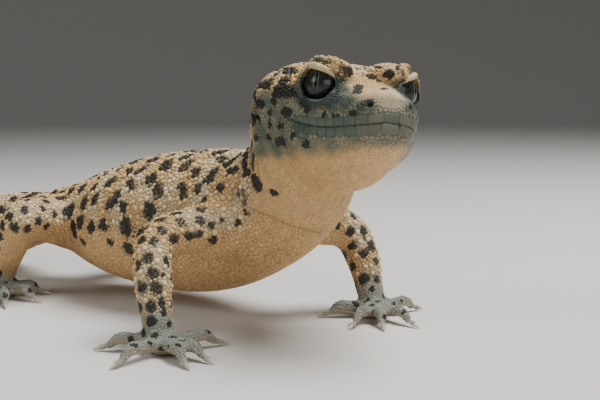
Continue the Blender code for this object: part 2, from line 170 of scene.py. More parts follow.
# %% [markdown]
# ## The head's own axes
# The head is turned to its right and tipped a little, so its folds and spots are easier to place
# along its own axes: forward, to its left, and up. The point between the eyeballs is their zero.

# %% The head frame
HEAD_TURN, HEAD_RISE, HEAD_TILT = (math.radians(a) for a in (-33.0, 2.5, -5.0))
EYE_RADIUS = 3.35
EYE_PLACE = np.array([0.5, 6.4, 0.1])
EYE_TURN = math.radians(40)  # an eye looks this far out from straight ahead


def middle(name):
    low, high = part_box(name)
    return np.array((low + high) / 2) / MM


head_axes = np.array(
    Matrix.Rotation(HEAD_TURN, 3, "Z")
    @ Matrix.Rotation(-HEAD_RISE, 3, "Y")
    @ Matrix.Rotation(HEAD_TILT, 3, "X")
)
between_eyes = (middle("eye_left") + middle("eye_right")) / 2
head_zero = between_eyes - head_axes @ np.array([EYE_PLACE[0], 0, EYE_PLACE[2]])


def to_head(points):
    return (np.asarray(points, float) - head_zero) @ head_axes


def from_head(points):
    return np.asarray(points, float) @ head_axes.T + head_zero


def eye_axes(side):
    """Rows: where the eye looks, towards the front of the head, and up."""
    turn = EYE_TURN * side
    looks = (math.cos(turn), math.sin(turn), 0)
    ahead = (math.sin(turn) * side, -math.cos(turn) * side, 0)
    return np.array([looks, ahead, (0, 0, 1)])


def around_eye(side, angles, radius):
    """Angles are degrees to the front and up, seen from the eye's centre."""
    azimuth, elevation = np.radians(np.asarray(angles, float)).T
    local = np.stack([
        np.cos(elevation) * np.cos(azimuth),
        np.cos(elevation) * np.sin(azimuth),
        np.sin(elevation),
    ], 1)
    centre = EYE_PLACE * (1, side, 1)
    return centre + (local * np.asarray(radius, float).reshape(-1, 1)) @ eye_axes(side)


print("between the eyes:", between_eyes.round(2))

# %% [markdown]
# ## One skin
# The real animal has one skin, and the solids are parted by thin cuts. Copies of the solids are
# fattened a little until they touch, and a voxel remesh fuses them. A smooth modifier then takes
# off the solids' facets: strongly on the trunk, hardly at all on the thin toes.

# %% Fuse the flesh
FATTEN = 0.25
GRID = 0.35
TOE_PAD = 0.68

flesh = [n for n in nodes if "claw" not in n and not n.startswith("eye")]
copies = [add_object("copy_" + name, nodes[name].data.copy()) for name in flesh]
claws = sorted(n for n in nodes if "_claw_" in n)
toe_ends = []
for name in claws:
    foot = [n for n in flesh if n.startswith(name.split("_claw_")[0]) and n.endswith(("hand", "foot"))][0]
    cloud = read_points(nodes[name])
    reach = np.linalg.norm(cloud - middle(foot), axis=1)
    root, tip = cloud[reach < reach.min() + 0.25].mean(0), cloud[reach.argmax()]
    toe_ends.append(root)
    pad = root - 0.35 * (tip - root) / np.linalg.norm(tip - root)
    bpy.ops.mesh.primitive_ico_sphere_add(subdivisions=2, radius=TOE_PAD * MM, location=(pad * MM).tolist())
    copies.append(bpy.context.object)
join_to(*copies)
skin = copies[0]
skin.name = "skin"
skin.parent = None
edit_whole(skin, bpy.ops.mesh.remove_doubles, threshold=1e-6)

solid_points = np.concatenate([read_points(nodes[n]) for n in flesh])
solid_faces = []
face_part = []
offset = 0
for index, name in enumerate(flesh):
    for face in nodes[name].data.polygons:
        solid_faces.append([offset + v for v in face.vertices])
        face_part.append(index)
    offset += len(nodes[name].data.vertices)
solid_tree = BVHTree.FromPolygons([Vector(p) for p in solid_points], solid_faces)


def nearest_part(points):
    return np.array([face_part[solid_tree.find_nearest(p)[2]] for p in points.tolist()])


finish_with(skin, "DISPLACE", strength=FATTEN * MM, mid_level=0)
finish_with(skin, "REMESH", mode="VOXEL", voxel_size=GRID * MM)
print("fused skin:", len(skin.data.vertices), "points", clock())

# %% Take off the facets
HEAD_PARTS = ("head", "lower_jaw")
LEG_PARTS = ("upper_arm", "forearm", "thigh", "shank")
FOOT_PARTS = ("hand", "foot")
TAIL_PARTS = ("tail_base", "tail_middle", "tail_tip")
SOFTNESS = {"head": 0.45, "lower_jaw": 0.5, "hand": 0.0, "foot": 0.0, "tail_tip": 0.6,
            "forearm": 0.4, "shank": 0.5}


def part_value(table, default):
    values = []
    for name in flesh:
        found = [v for key, v in table.items() if name == key or name.endswith("_" + key)]
        values.append(found[0] if found else default)
    return np.array(values, float)


def is_part(part, *names):
    """True where part is one of those named; a leg's part is named without its leg."""
    return part_value(dict.fromkeys(names, 1), 0)[part] > 0


def finish_partly(kind, shares, **settings):
    """A modifier on the skin that does as much at each point as its share says, from 0 to 1."""
    group = skin.vertex_groups.new(name="share")
    for level in np.unique(shares[shares > 0]).tolist():
        group.add(np.nonzero(shares == level)[0].tolist(), level, "REPLACE")
    finish_with(skin, kind, vertex_group="share", **settings)
    skin.vertex_groups.clear()


points = read_points(skin)
part = nearest_part(points)
softness = spread(part_value(SOFTNESS, 1.0)[part], read_edges(skin), 6)
finish_partly("SMOOTH", np.round(softness * 10) / 10, factor=0.5, iterations=26)

# the solid head has a wide pit for each ear; it is filled here, and a narrower ear is pressed in later
EAR_PIT = np.array([-19.4, 13.4, -4.2])
seen = to_head(read_points(skin)) - EAR_PIT
in_pit = is_part(part, *HEAD_PARTS, "neck") & (np.hypot(seen[:, 0] / 2.2, seen[:, 2] / 3.6) < 1)
finish_partly("SMOOTH", in_pit.astype(float), factor=0.5, iterations=400)
print("smoothed, with", int(in_pit.sum()), "points in the ear pits", clock())

# %% [markdown]
# ## Folds, lips and openings
# Skin folds where it bends and where it covers an edge of bone. Each fold here is a stroke: a line
# laid on the skin, along which points near it rise or sink along their normals. A sculptor's crease
# brush does the same. A positive height makes a roll, a negative one a groove.

# %% The crease brush
def thread(path, step=0.15):
    """A smooth line through the path's points, with a point every step or so."""
    path = np.asarray(path, float)
    ends = np.concatenate([[2 * path[0] - path[1]], path, [2 * path[-1] - path[-2]]])
    line = []
    for a, b, c, d in zip(ends, ends[1:], ends[2:], ends[3:]):
        count = max(2, int(np.linalg.norm(c - b) / step))
        t = np.linspace(0, 1, count, endpoint=False)[:, None]
        line.append(0.5 * (2 * b + (c - a) * t + (2 * a - 5 * b + 4 * c - d) * t**2
                           + (3 * b - a - 3 * c + d) * t**3))
    return np.concatenate(line + [path[-1:]])


# %% How far a stroke reaches
def skin_tree():
    polygons = [tuple(f.vertices) for f in skin.data.polygons]
    return BVHTree.FromPolygons([Vector(p) for p in read_points(skin)], polygons)


def stroke_distance(line, points, reach):
    """Distance from each point to the line, and how far along the line it is, 0 to 1."""
    near = np.full(len(points), 1e3)
    along = np.zeros(len(points))
    low, high = line.min(0) - reach, line.max(0) + reach
    chosen = np.nonzero(((points > low) & (points < high)).all(1))[0]
    for start in range(0, len(chosen), 4000):
        some = chosen[start:start + 4000]
        gaps = np.linalg.norm(points[some][:, None] - line[None], axis=2)
        near[some] = gaps.min(1)
        along[some] = gaps.argmin(1) / max(1, len(line) - 1)
    return near, along


def on_skin(path):
    return np.array([surface.find_nearest(p)[0] for p in np.asarray(path, float).tolist()])


def stroke(path, width, height, fade):
    """How far the stroke lifts each point of the skin; fade is the share of it that each end takes."""
    near, along = stroke_distance(on_skin(thread(path)), points, 3 * width)
    ends = np.clip(np.minimum(along, 1 - along) / fade, 0, 1)
    return height * np.exp(-(near / width) ** 2) * ends


def both_sides(path):
    path = np.asarray(path, float)
    return [from_head(path * (1, side, 1)) for side in (1, -1)]


def beside_eyes(angles, radius):
    return [from_head(around_eye(side, angles, radius)) for side in (1, -1)]


# %% Folds of the head
MOUTH = [(-3.6, 11.4, -5.3), (1, 10.0, -6.3), (6, 8.2, -6.85), (10, 6.4, -6.7), (13.2, 4.2, -6.35),
         (14.9, 2.0, -6.0), (15.3, 0, -5.85)]
NOSTRIL = np.array([13.9, 3.3, -3.1])
EAR_LINE = [(-17.0, 13.5, -1.4), (-15.8, 13.4, -3.5), (-14.4, 13.0, -5.7), (-12.6, 13.0, -6.6)]
LID_TOP = [(-66, 34), (-58, 50), (-40, 60), (6, 55), (33, 45), (52, 30), (60, 10)]
BROW = [(-64, 52), (-54, 66), (-22, 72), (14, 68), (40, 61), (54, 46), (60, 28), (62, 12)]
FRONT_CREASE = [(5.2, 5.3, 3.6), (5.1, 5.3, 2.3), (4.3, 5.5, 1.1), (5.3, 6.0, -0.5), (6.8, 6.3, -1.6)]
LID_FOLD = [(-46, 63), (-28, 67), (6, 62), (33, 53), (50, 40), (61, 21)]
UNDER_LID = [(-66, -22), (-50, -46), (-12, -60), (24, -58), (48, -42), (60, -14)]

surface = skin_tree()
points = read_points(skin)
lift = np.zeros(len(points))
head_strokes = [
    (both_sides(MOUTH), 0.17, -0.42, 0.03),
    (both_sides([(-3.6, 11.4, -5.3), (-6.2, 12.1, -6.2), (-8.5, 12.6, -7.4)]), 0.4, -0.35, 0.3),
    (both_sides([(-9.5, 13, -4.2), (-6, 12.3, -4.6), (-2, 11.4, -4.5), (2.5, 10, -4.9)]), 0.8, 0.3, 0.3),
    (both_sides(EAR_LINE), 0.68, -2.5, 0.12),
    (both_sides([(-18.2, 13.5, -1.4), (-17.0, 13.6, -4.0), (-15.2, 13.3, -6.6)]), 0.7, 0.3, 0.3),
    (both_sides([(-15.4, 13.6, -1.6), (-14.2, 13.4, -3.8), (-13.2, 13.2, -5.2)]), 0.6, 0.25, 0.3),
    (both_sides(FRONT_CREASE), 0.32, -0.38, 0.15),
    (beside_eyes(LID_TOP, 4.2), 0.4, -0.5, 0.1),
    (beside_eyes(BROW, 4.9), 0.66, 0.6, 0.12),
    (beside_eyes(UNDER_LID, 4.6), 0.42, -0.34, 0.15),
    (beside_eyes([(-66, -34), (-46, -62), (-8, -76), (30, -72)], 5.3), 0.6, 0.2, 0.2),
]
from_left, from_right = (points - from_head(EYE_PLACE * (1, side, 1)) for side in (1, -1))
left_nearer = np.linalg.norm(from_left, axis=1) < np.linalg.norm(from_right, axis=1)
from_eye = np.where(left_nearer[:, None], from_left, from_right)
outward = (read_normals(skin) * from_eye).sum(1) / np.linalg.norm(from_eye, axis=1)
socket_wall = (outward < 0.15) & (np.linalg.norm(from_eye, axis=1) < 4.4)
for paths, width, height, fade in head_strokes:
    for path in paths:
        lift += stroke(path, width, height, fade) * ~socket_wall
for side in (1, -1):
    pit = on_skin([from_head(NOSTRIL * (1, side, 1))])[0]
    away = np.linalg.norm(points - pit, axis=1)
    lift += -1.1 * np.exp(-(away / 0.5) ** 2) + 0.22 * np.exp(-((away - 0.95) / 0.3) ** 2)
print("head folds:", len(head_strokes), clock())

# %% Folds of the neck and limbs, rings of the tail
body_strokes = [
    ([(56.2, -9.5, 34.0), (57.8, -11.9, 30.5), (58.0, -12.4, 27.0), (56.8, -12.2, 23.5)], 0.7, -0.5),
    ([(59.6, -10.8, 33.5), (60.2, -12.0, 30.0), (60.2, -12.0, 26.5)], 0.55, -0.3),
    ([(53.8, -9.5, 33.0), (54.6, -12.6, 28.5), (54.2, -13.2, 24.5)], 0.7, -0.4),
    ([(58.4, -11.6, 23.0), (62.5, -10.3, 21.2), (66.2, -7.6, 19.3), (68.5, -3.5, 18.6)], 0.42, -0.45),
    ([(56.0, 12.5, 33.0), (57.8, 13.0, 29.0), (57.0, 12.6, 24.0)], 0.7, -0.45),
    ([(60.5, 11.0, 31.0), (61.0, 11.4, 27.0)], 0.55, -0.3),
    ([(66.5, 1.5, 24.5), (64.5, 7.5, 24.0), (61.0, 10.5, 23.5)], 0.45, -0.25),
    ([(52.3, -15.0, 24.6), (55.5, -14.6, 21.6), (54.5, -14.0, 17.0)], 0.6, -0.3),
]
for path, width, height in body_strokes:
    lift += stroke(path, width, height, 0.25)

part = nearest_part(points)
on_tail = is_part(part, *TAIL_PARTS)
steps_back = np.arange(10, 96)  # millimetres behind the hips
ring_lengths = np.interp(steps_back, [10, 45, 93], [5.6, 4.6, 2.6])
ring_count = np.cumsum(1 / ring_lengths)


def ring_gap(places):
    """How far each place is from the nearest groove between two rings of the tail."""
    phase = np.interp(-places[:, 0], steps_back, ring_count)
    return np.abs(phase - np.round(phase)) * np.interp(-places[:, 0], steps_back, ring_lengths)


tail_start = ramp(-points[:, 0], 14, 22) * np.interp(-points[:, 0], [60, 93], [1, 0.55])
lift += on_tail * tail_start * (0.24 - 0.85 * np.exp(-(ring_gap(points) / 0.8) ** 2))
print("rings on the tail:", int(ring_count[-1]))

# %% [markdown]
# ## Room for the coat
# The solids reach to the tips of the scales. So the skin lies inside them by the depth of its coat:
# more on the back, where the beads stand high, and least on the face and feet.

# %% Sink the skin by the coat's depth
COAT_DEPTH = {"head": 0.24, "lower_jaw": 0.2, "hand": 0.14, "foot": 0.14, "trunk": 0.36, "neck": 0.3,
              "tail_tip": 0.25}

edges = read_edges(skin)
depth = spread(part_value(COAT_DEPTH, 0.32)[part], edges, 20)
eye_gap = np.min([np.linalg.norm(points - middle(n), axis=1) for n in ("eye_left", "eye_right")], 0)
by_eye = np.clip((eye_gap - 4.2) / 1.2, 0, 1)
depth = 0.06 + (depth - 0.06) * by_eye
points = points + read_normals(skin) * (lift - FATTEN - depth)[:, None]
write_points(skin, points)
finish_with(skin, "SMOOTH", factor=0.5, iterations=2)
print("skin sunk by", depth.min().round(2), "to", depth.max().round(2), "mm")

# %% Thin the mesh away from the head and feet
MOST_TRIANGLES = 176000
part = nearest_part(read_points(skin))
thinned = part_value({"head": 0, "lower_jaw": 0.3, "hand": 0.2, "foot": 0.2}, 1.0)[part]
total = len(read_triangles(skin))
finish_with(skin, "TRIANGULATE")
finish_partly("DECIMATE", thinned, ratio=min(1, MOST_TRIANGLES / total))
print("skin:", total, "->", len(skin.data.polygons), "triangles", clock())

# %% [markdown]
# ## Eyelids
# Most geckos have none, but a leopard gecko can shut its eyes. The upper lid is a thick pale roll and
# the lower one a thin rim. Each is lofted: a cross-section runs from the corner behind the eye to the
# corner in front, on spheres a little larger than the eyeball, so that it can never cut into it.
# They are joined to the skin, and their far edges run under its rim, where the real lid folds away.

# %% The lids' edges and cross-sections
UPPER_EDGE = [(-68, 14), (-66, 26), (-60, 35), (-48, 41), (-30, 43), (8, 36), (33, 27), (50, 16), (59, 2)]
UPPER_FAR = [(-76, 14), (-76, 30), (-72, 46), (-58, 60), (-34, 68), (6, 62), (36, 50), (58, 32), (70, 4)]
UPPER_ROLL = [(0.0, 3.42), (-0.08, 3.55), (-0.1, 3.8), (-0.02, 4.12), (0.1, 4.34), (0.24, 4.42),
              (0.38, 4.3), (0.5, 4.04), (0.65, 3.8), (0.85, 3.58), (1.0, 3.42), (0.5, 3.39)]
LOWER_EDGE = [(-70, 18), (-72, 0), (-68, -20), (-58, -35), (-30, -45), (5, -47), (33, -39), (49, -25),
              (56, -6), (59, 10)]
LOWER_FAR = [(-80, 16), (-84, -4), (-78, -30), (-64, -50), (-32, -62), (6, -64), (42, -54), (62, -34),
             (70, -8), (72, 8)]
LOWER_ROLL = [(0.0, 3.4), (-0.14, 3.5), (-0.16, 3.68), (0.0, 3.88), (0.3, 3.98), (0.6, 3.92), (0.85, 3.74),
              (1.0, 3.55), (1.0, 3.4), (0.5, 3.38)]
LID_STEPS = 36

print("the upper lid has", len(UPPER_ROLL), "points to its cross-section, the lower", len(LOWER_ROLL))

# %% Loft the lids
def lengths_along(line):
    return np.concatenate([[0], np.cumsum(np.linalg.norm(np.diff(line, axis=0), axis=1))])


def point_along(line, want):
    """The places at those lengths along the line."""
    lengths = lengths_along(line)
    return np.stack([np.interp(want, lengths, values) for values in line.T], -1)


def lid_ways(side, edge, far, count):
    """Ways from the eye's centre to even places along a lid's edge, and along its far edge."""
    ways = []
    for path in (edge, far):
        line = thread(path, 0.5)
        even = point_along(line, np.linspace(0, lengths_along(line)[-1], count))
        ways.append(around_eye(side, even, 1) - EYE_PLACE * (1, side, 1))
    return ways


def ring_faces(rings, count):
    """Four-sided faces between rings of count points, one ring after the other."""
    faces = []
    for ring in range(rings - 1):
        for k in range(count):
            a, b = ring * count + k, ring * count + (k + 1) % count
            faces.append([a, b, b + count, a + count])
    return faces


def loft_lid(name, side, edge, far, roll):
    near_way, far_way = lid_ways(side, edge, far, LID_STEPS)
    centre = EYE_PLACE * (1, side, 1)
    rings = []
    for share, radius in roll:
        rings.append(centre + radius * unit(near_way * (1 - share) + far_way * share))
    count = len(roll)
    grid = from_head(np.stack(rings, 1).reshape(-1, 3))
    ends = [list(range(count - 1, -1, -1)), list(range((LID_STEPS - 1) * count, LID_STEPS * count))]
    mesh = bpy.data.meshes.new(name)
    mesh.from_pydata((grid * MM).tolist(), [], ring_faces(LID_STEPS, count) + ends)
    lid = add_object(name, mesh)
    edit_whole(lid, bpy.ops.mesh.normals_make_consistent, inside=False)
    return lid


# %% Make the four lids and join them
lids = []
for side, word in ((1, "left"), (-1, "right")):
    lids.append(loft_lid("lid_upper_" + word, side, UPPER_EDGE, UPPER_FAR, UPPER_ROLL))
    lids.append(loft_lid("lid_lower_" + word, side, LOWER_EDGE, LOWER_FAR, LOWER_ROLL))
lid_points = sum(len(lid.data.vertices) for lid in lids)
join_to(skin, *lids)
print("lids joined:", lid_points, "points")

# %% [markdown]
# ## Where everything is on the skin
# The markings and the coat both need to know, for each point of the skin, which part of the body it
# is, where it is along the head's own axes, and whether it faces up or down.

# %% Measure the skin
points = read_points(skin)
normals = read_normals(skin)
edges = read_edges(skin)
triangles = read_triangles(skin)
part = nearest_part(points)
local = to_head(points)


def eye_distance(local):
    """How far each place is from the nearer eye's centre, along the head's own axes."""
    return np.min([np.linalg.norm(local - EYE_PLACE * (1, s, 1), axis=1) for s in (1, -1)], 0)


on_head = is_part(part, *HEAD_PARTS)
on_lid = np.arange(len(points)) >= len(points) - lid_points
on_foot = is_part(part, *FOOT_PARTS)
on_leg = is_part(part, *LEG_PARTS)
on_tail = is_part(part, *TAIL_PARTS)
on_neck = is_part(part, "neck")
on_trunk = is_part(part, "trunk") | on_neck
top = spread(np.clip(0.5 + 0.75 * normals[:, 2], 0, 1), edges, 8)
for word, mask in dict(head=on_head, feet=on_foot, legs=on_leg, tail=on_tail, trunk=on_trunk).items():
    print("points on the", word + ":", int(mask.sum()))


# %% [markdown]
# ## The markings
# A grown leopard gecko is cream to sand yellow with dark brown spots, paler and plainer below, with a
# grey cast round the lips, the lower lids and the feet. On the sides of the face and on the lips that
# grey is partly painted shade, and painted shadow lies on the snout's sides, round the eyes, in the
# creases, in the nostrils and in the ears. The spots of the head and of the near foreleg are placed one
# by one, as short dark strokes. The others are scattered, evenly but irregularly, each at its own size.
# Skin and scales ask the same function for their colour, so they always agree.

# %% Spots placed one by one
HEAD_SPOTS = [
    # behind the eye and over the temple
    (-7.0, -9.5, 2.4, -11.0, -9.5, 3.0, 0.95), (-11.5, -12, 0.5, -16.0, -12.5, 0.5, 0.9),
    (-0.8, -10, -1.0, -7.6, -12, -1.1, 1.12),
    (-7.0, -12, -3.0, -8.0, -12.5, -2.6, 0.6), (-11.5, -13, -3.2, -14.5, -13, -2.8, 0.7),
    # cheek and corner of the mouth
    (-1.5, -11, -4.5, -3.4, -11.5, -4.5, 0.62), (-8.0, -12.5, -4.6, -8.5, -12.5, -4.6, 0.58),
    (-8.4, -12.5, -6.3, -8.5, -12.5, -6.6, 0.6), (-3.7, -11.5, -6.8, -5.2, -12, -6.8, 0.33),
    (0.4, -10, -6.8, 0.6, -10, -6.8, 0.32), (-4.4, -11, -9.3, -6.8, -11.5, -9.5, 0.7),
    (-0.4, -10.5, -8.3, -1.3, -10.5, -8.4, 0.5), (1.8, -9, -9.6, 0.9, -9, -9.9, 0.6),
    (-14.8, -13, -8.8, -16.0, -13, -9.0, 0.5), (-8.9, -12, -8.7, -9.6, -12.5, -8.9, 0.5),
    # above the lip
    (2.6, -9.5, -4.2, 2.2, -9.5, -4.0, 0.62), (6.6, -8, -5.0, 6.1, -8, -5.0, 0.46),
    (9.4, -6.5, -5.1, 8.4, -7, -5.1, 0.34), (12.5, -5, -4.8, 11.9, -5, -4.8, 0.55),
    # snout and forehead
    (5.1, -4.3, 2.4, 3.2, -2.7, 2.4, 0.66), (8.9, -3.5, -1.2, 5.9, -2.4, 0.1, 0.72),
    (1.8, 1.6, 1.9, 0.3, 1.3, 2.3, 0.58), (3.4, 2.4, 1.3, 2.5, 1.9, 1.6, 0.28),
    (4.4, 3.5, 2.5, 3.7, 3.2, 2.6, 0.68), (1.7, 2.6, 3.8, -1.5, 3.1, 4.0, 0.38),
    (7.0, 1.2, -0.2, 6.0, 2.2, 0.0, 0.3), (-6.2, 2.9, 4.0, -8.7, 3.2, 4.3, 0.45),
    (5.1, 4.4, 3.4, 3.6, 5.0, 4.1, 0.4),
]
FORELEG_SPOTS = [
    (50.6, -25.1, 20.2, 0.8), (51.3, -21.3, 21.3, 0.9), (52.7, -18.0, 21.4, 0.8), (53.9, -16.3, 20.4, 0.7),
    (54.5, -14.2, 21.2, 0.65), (52.0, -23.3, 18.4, 0.85), (52.7, -20.5, 18.8, 0.8), (53.4, -18.7, 18.8, 0.65),
    (48.4, -28.2, 18.5, 0.8), (50.9, -27.1, 18.6, 0.75), (51.3, -29.0, 16.0, 0.9), (49.7, -30.0, 14.6, 0.8),
    (52.8, -29.4, 13.5, 0.95), (51.5, -30.9, 11.2, 0.95), (53.9, -29.5, 11.1, 1.0), (50.9, -31.0, 7.6, 0.85),
    (53.9, -30.8, 8.2, 0.9), (55.0, -29.1, 8.8, 0.7), (55.4, -29.2, 7.2, 0.55), (54.2, -31.1, 5.8, 0.85),
    (55.3, -31.4, 3.6, 0.5), (56.2, -33.0, 2.8, 0.45), (57.1, -31.4, 1.6, 0.45), (53.7, -27.5, 13.0, 0.4),
    (57.1, -11.5, 22.2, 0.65), (55.9, -11.6, 20.4, 0.5), (58.9, -11.4, 22.7, 0.35),
]
FACE_SHADOWS = [  # soft grey-green shadows of the face: two ends, size and strength
    (10.4, -5.5, -3.0, 9.4, -5.9, -2.8, 0.95, 0.8), (6.8, -5.2, -1.0, 4.3, -4.4, 0.4, 0.7, 0.75),
    (8.2, -6.4, -2.5, 7.2, -6.8, -2.3, 0.85, 0.85), (7.0, -7.4, -3.1, 1.4, -9.5, -3.0, 0.85, 0.88),
    (6.6, -6.4, -1.4, 5.2, -7.6, -2.6, 0.7, 0.9),
    (5.5, -6.0, -0.9, 4.0, -5.8, 1.9, 0.5, 0.7), (13.6, -3.4, -3.0, 12.6, -4.2, -3.3, 0.85, 0.8),
    (9.0, -6.5, -3.8, 12.5, -4.9, -3.9, 0.6, 0.4),
]
NECK_STREAKS = [
    (54.0, -7.9, 33.4, 57.5, -11.6, 29.4, 0.75), (58.4, -11.0, 32.6, 58.9, -11.6, 30.2, 0.6),
    (59.4, -11.7, 28.2, 60.4, -11.7, 27.2, 1.0), (63.2, -11.2, 26.4, 64.0, -11.2, 26.0, 0.6),
    (56.9, -11.9, 26.0, 57.3, -12, 23.6, 0.7), (55.6, -11.9, 27.0, 55.8, -12, 24.8, 0.6),
]
print("placed by hand:", len(HEAD_SPOTS), "spots of the head,", len(FORELEG_SPOTS), "of the foreleg")

# %% Lay them on the skin, on both sides of the head
surface = skin_tree()


def laid(start, end, *rest):
    """A stroke between two places by the head, dropped on the skin; rest is its size and strength."""
    ends = on_skin(from_head([start, end]))
    return (*ends[0], *ends[1], *rest)


spots = []
for x, y, z, x2, y2, z2, size in HEAD_SPOTS:
    spots.append(laid((x, y, z), (x2, y2, z2), size))
    if y < -4.5:  # the cheek that looks away is marked much the same
        spots.append(laid((x - 0.6, -y, z - 0.3), (x2 - 0.3, -y2, z2), size * 0.95))
# the painted shadows of the face are laid on both cheeks
face_shadows = []
for x, y, z, x2, y2, z2, size, strength in FACE_SHADOWS:
    for s in (1, -1):
        face_shadows.append(laid((x, y * s, z), (x2, y2 * s, z2), size, strength))
# painted shade along the mouth, in the folds by the eyes and snout, and in the nostrils
creases = []  # line on the skin, half width, strength
for paths, width, strength in (
    (both_sides(MOUTH), 0.16, 0.95), (both_sides([(-3.6, 11.4, -5.3), (-6.2, 12.1, -6.2)]), 0.2, 0.6),
    (both_sides(FRONT_CREASE), 0.3, 0.9),
    (beside_eyes(LID_FOLD, 4.3), 0.42, 0.96), (beside_eyes(UNDER_LID, 4.35), 0.42, 0.8),
    (both_sides([NOSTRIL, NOSTRIL + (0.1, 0.1, -0.1)]), 0.5, 0.97),
):
    for path in paths:
        creases.append((on_skin(thread(path)), width, strength))
spots += [(x, y, z, x, y, z, 1.13 * size) for x, y, z, size in FORELEG_SPOTS]
spots += NECK_STREAKS
# the grooves of the neck and limbs get painted shade too, darker where they are deeper
for path, width, height in body_strokes:
    creases.append((on_skin(thread(path)), 0.6 * width, 0.6 * min(1, -1.6 * height)))
placed = len(spots)
print("spots:", placed, "soft shadows:", len(face_shadows), "dark creases:", len(creases))

# %% Spots scattered over the rest
rng = np.random.default_rng(11)


def scatter_spots(allowed, spacing, smallest, largest, stretch):
    """Takes points of the skin in a random order, and keeps those that have room."""
    order = rng.permutation(np.nonzero(allowed)[0])[:9000]
    middles = np.array([((s[0] + s[3]) / 2, (s[1] + s[4]) / 2, (s[2] + s[5]) / 2) for s in spots])
    for index in order:
        place = points[index]
        if np.linalg.norm(middles - place, axis=1).min() < spacing:
            continue
        size = rng.uniform(smallest, largest)
        way = np.cross(normals[index], rng.normal(size=3))
        way *= rng.uniform(0, stretch) / (np.linalg.norm(way) + 1e-9)
        spots.append((*(place - way), *(place + way), size))
        middles = np.vstack([middles, place])


flank = normals[:, 2] > -0.22 + 0.16 * np.sin(points[:, 0] / 2.3) + 0.08 * np.sin(points[:, 0] / 0.9)
crown = on_head & (local[:, 2] > -3) & (local[:, 0] < -4) & (np.abs(local[:, 1]) < 11)
crown |= (on_head | on_neck) & (local[:, 0] < -15) & (normals[:, 2] > -0.35)
scatter_spots(crown, 3.2, 0.55, 0.95, 0.9)
scatter_spots(on_leg & (normals[:, 2] > -0.3) & (points[:, 2] > 5), 2.55, 0.65, 0.9, 0.35)


def toe_gap(places):
    return np.linalg.norm(places[:, None] - np.array(toe_ends), axis=2).min(1)


on_toe_end = np.zeros(len(points), bool)
on_toe_end[on_foot] = toe_gap(points[on_foot]) < 2.6
scatter_spots(on_foot & ~on_toe_end & (normals[:, 2] > 0.1), 2.2, 0.35, 0.5, 0.3)
scatter_spots(on_trunk & flank & (points[:, 2] > 12) & (points[:, 0] < 54), 3.7, 0.85, 1.4, 1.1)
scatter_spots(on_tail & flank, 3.5, 0.8, 1.3, 1.0)
print("spots:", placed, "placed,", len(spots) - placed, "scattered", clock())

# %% The colour of any place on the animal
CREAM = np.array([0.52, 0.34, 0.145])
PALE = np.array([0.56, 0.43, 0.25])
BELLY = np.array([0.56, 0.345, 0.15])
GREY = np.array([0.080, 0.114, 0.086])
SHADE = np.array([0.012, 0.026, 0.023])
SNOUT = np.array([0.13, 0.118, 0.085])
FOOT = np.array([0.205, 0.245, 0.225])
TOE_END = np.array([0.46, 0.42, 0.34])
SPOT = np.array([0.010, 0.013, 0.011])
LID_TINT = np.array([0.62, 0.50, 0.27])
LOWER_LID = np.array([0.20, 0.29, 0.29])
print("ground colour from", CREAM, "to", PALE, "and below", BELLY)


# %% Soft random blotches, soft edges and mixing
def mottle(places, size, seed):
    """A soft random field, about -1 to 1, with blotches of that size: many crossing waves."""
    waves = np.random.default_rng(seed)
    ways = waves.normal(size=(14, 3))
    ways *= (waves.uniform(0.6, 1.6, 14) * math.pi / size / np.linalg.norm(ways, axis=1))[:, None]
    return np.sin(places @ ways.T + waves.uniform(0, 6.3, 14)).sum(1) / 3.4


def blend(a, b, share):
    return a * (1 - share[:, None]) + b * share[:, None]


# %% How much of a spot or a crease lies on each place
def stroke_share(places, strokes, rim, core, wobble):
    """How dark each place is: 1 within core of a stroke's size, 0 beyond rim of it."""
    share = np.zeros(len(places))
    for ax, ay, az, bx, by, bz, size, strength in strokes:
        a, b = np.array([ax, ay, az]), np.array([bx, by, bz])
        near = np.nonzero(np.abs(places - (a + b) / 2).max(1) < rim * size + 3.4)[0]
        if not len(near):
            continue
        some = places[near]
        way = b - a
        t = np.clip((some - a) @ way / max(way @ way, 1e-9), 0, 1)
        gap = np.linalg.norm(some - a - t[:, None] * way, axis=1) / size
        share[near] = np.maximum(share[near], strength * ramp(gap + wobble[near] / size, rim, core))
    return share


# painted shade: how dark each place is made by the creases near it
def crease_shade(places):
    share = np.zeros(len(places))
    for line, width, strength in creases:
        near = stroke_distance(line, places, 3 * width)[0]
        share = np.maximum(share, strength * np.exp(-(near / width) ** 2))
    return share


def in_ear(places):
    """1 in the ear's opening, which is a line seen from the head's side, and 0 outside it."""
    seen = to_head(places)
    gap = stroke_distance(thread(EAR_LINE)[6:-6] * (1, 0, 1), seen * (1, 0, 1), 3.0)[0]
    return ramp(gap, 0.8, 0.62) * (np.abs(seen[:, 1]) > 8)


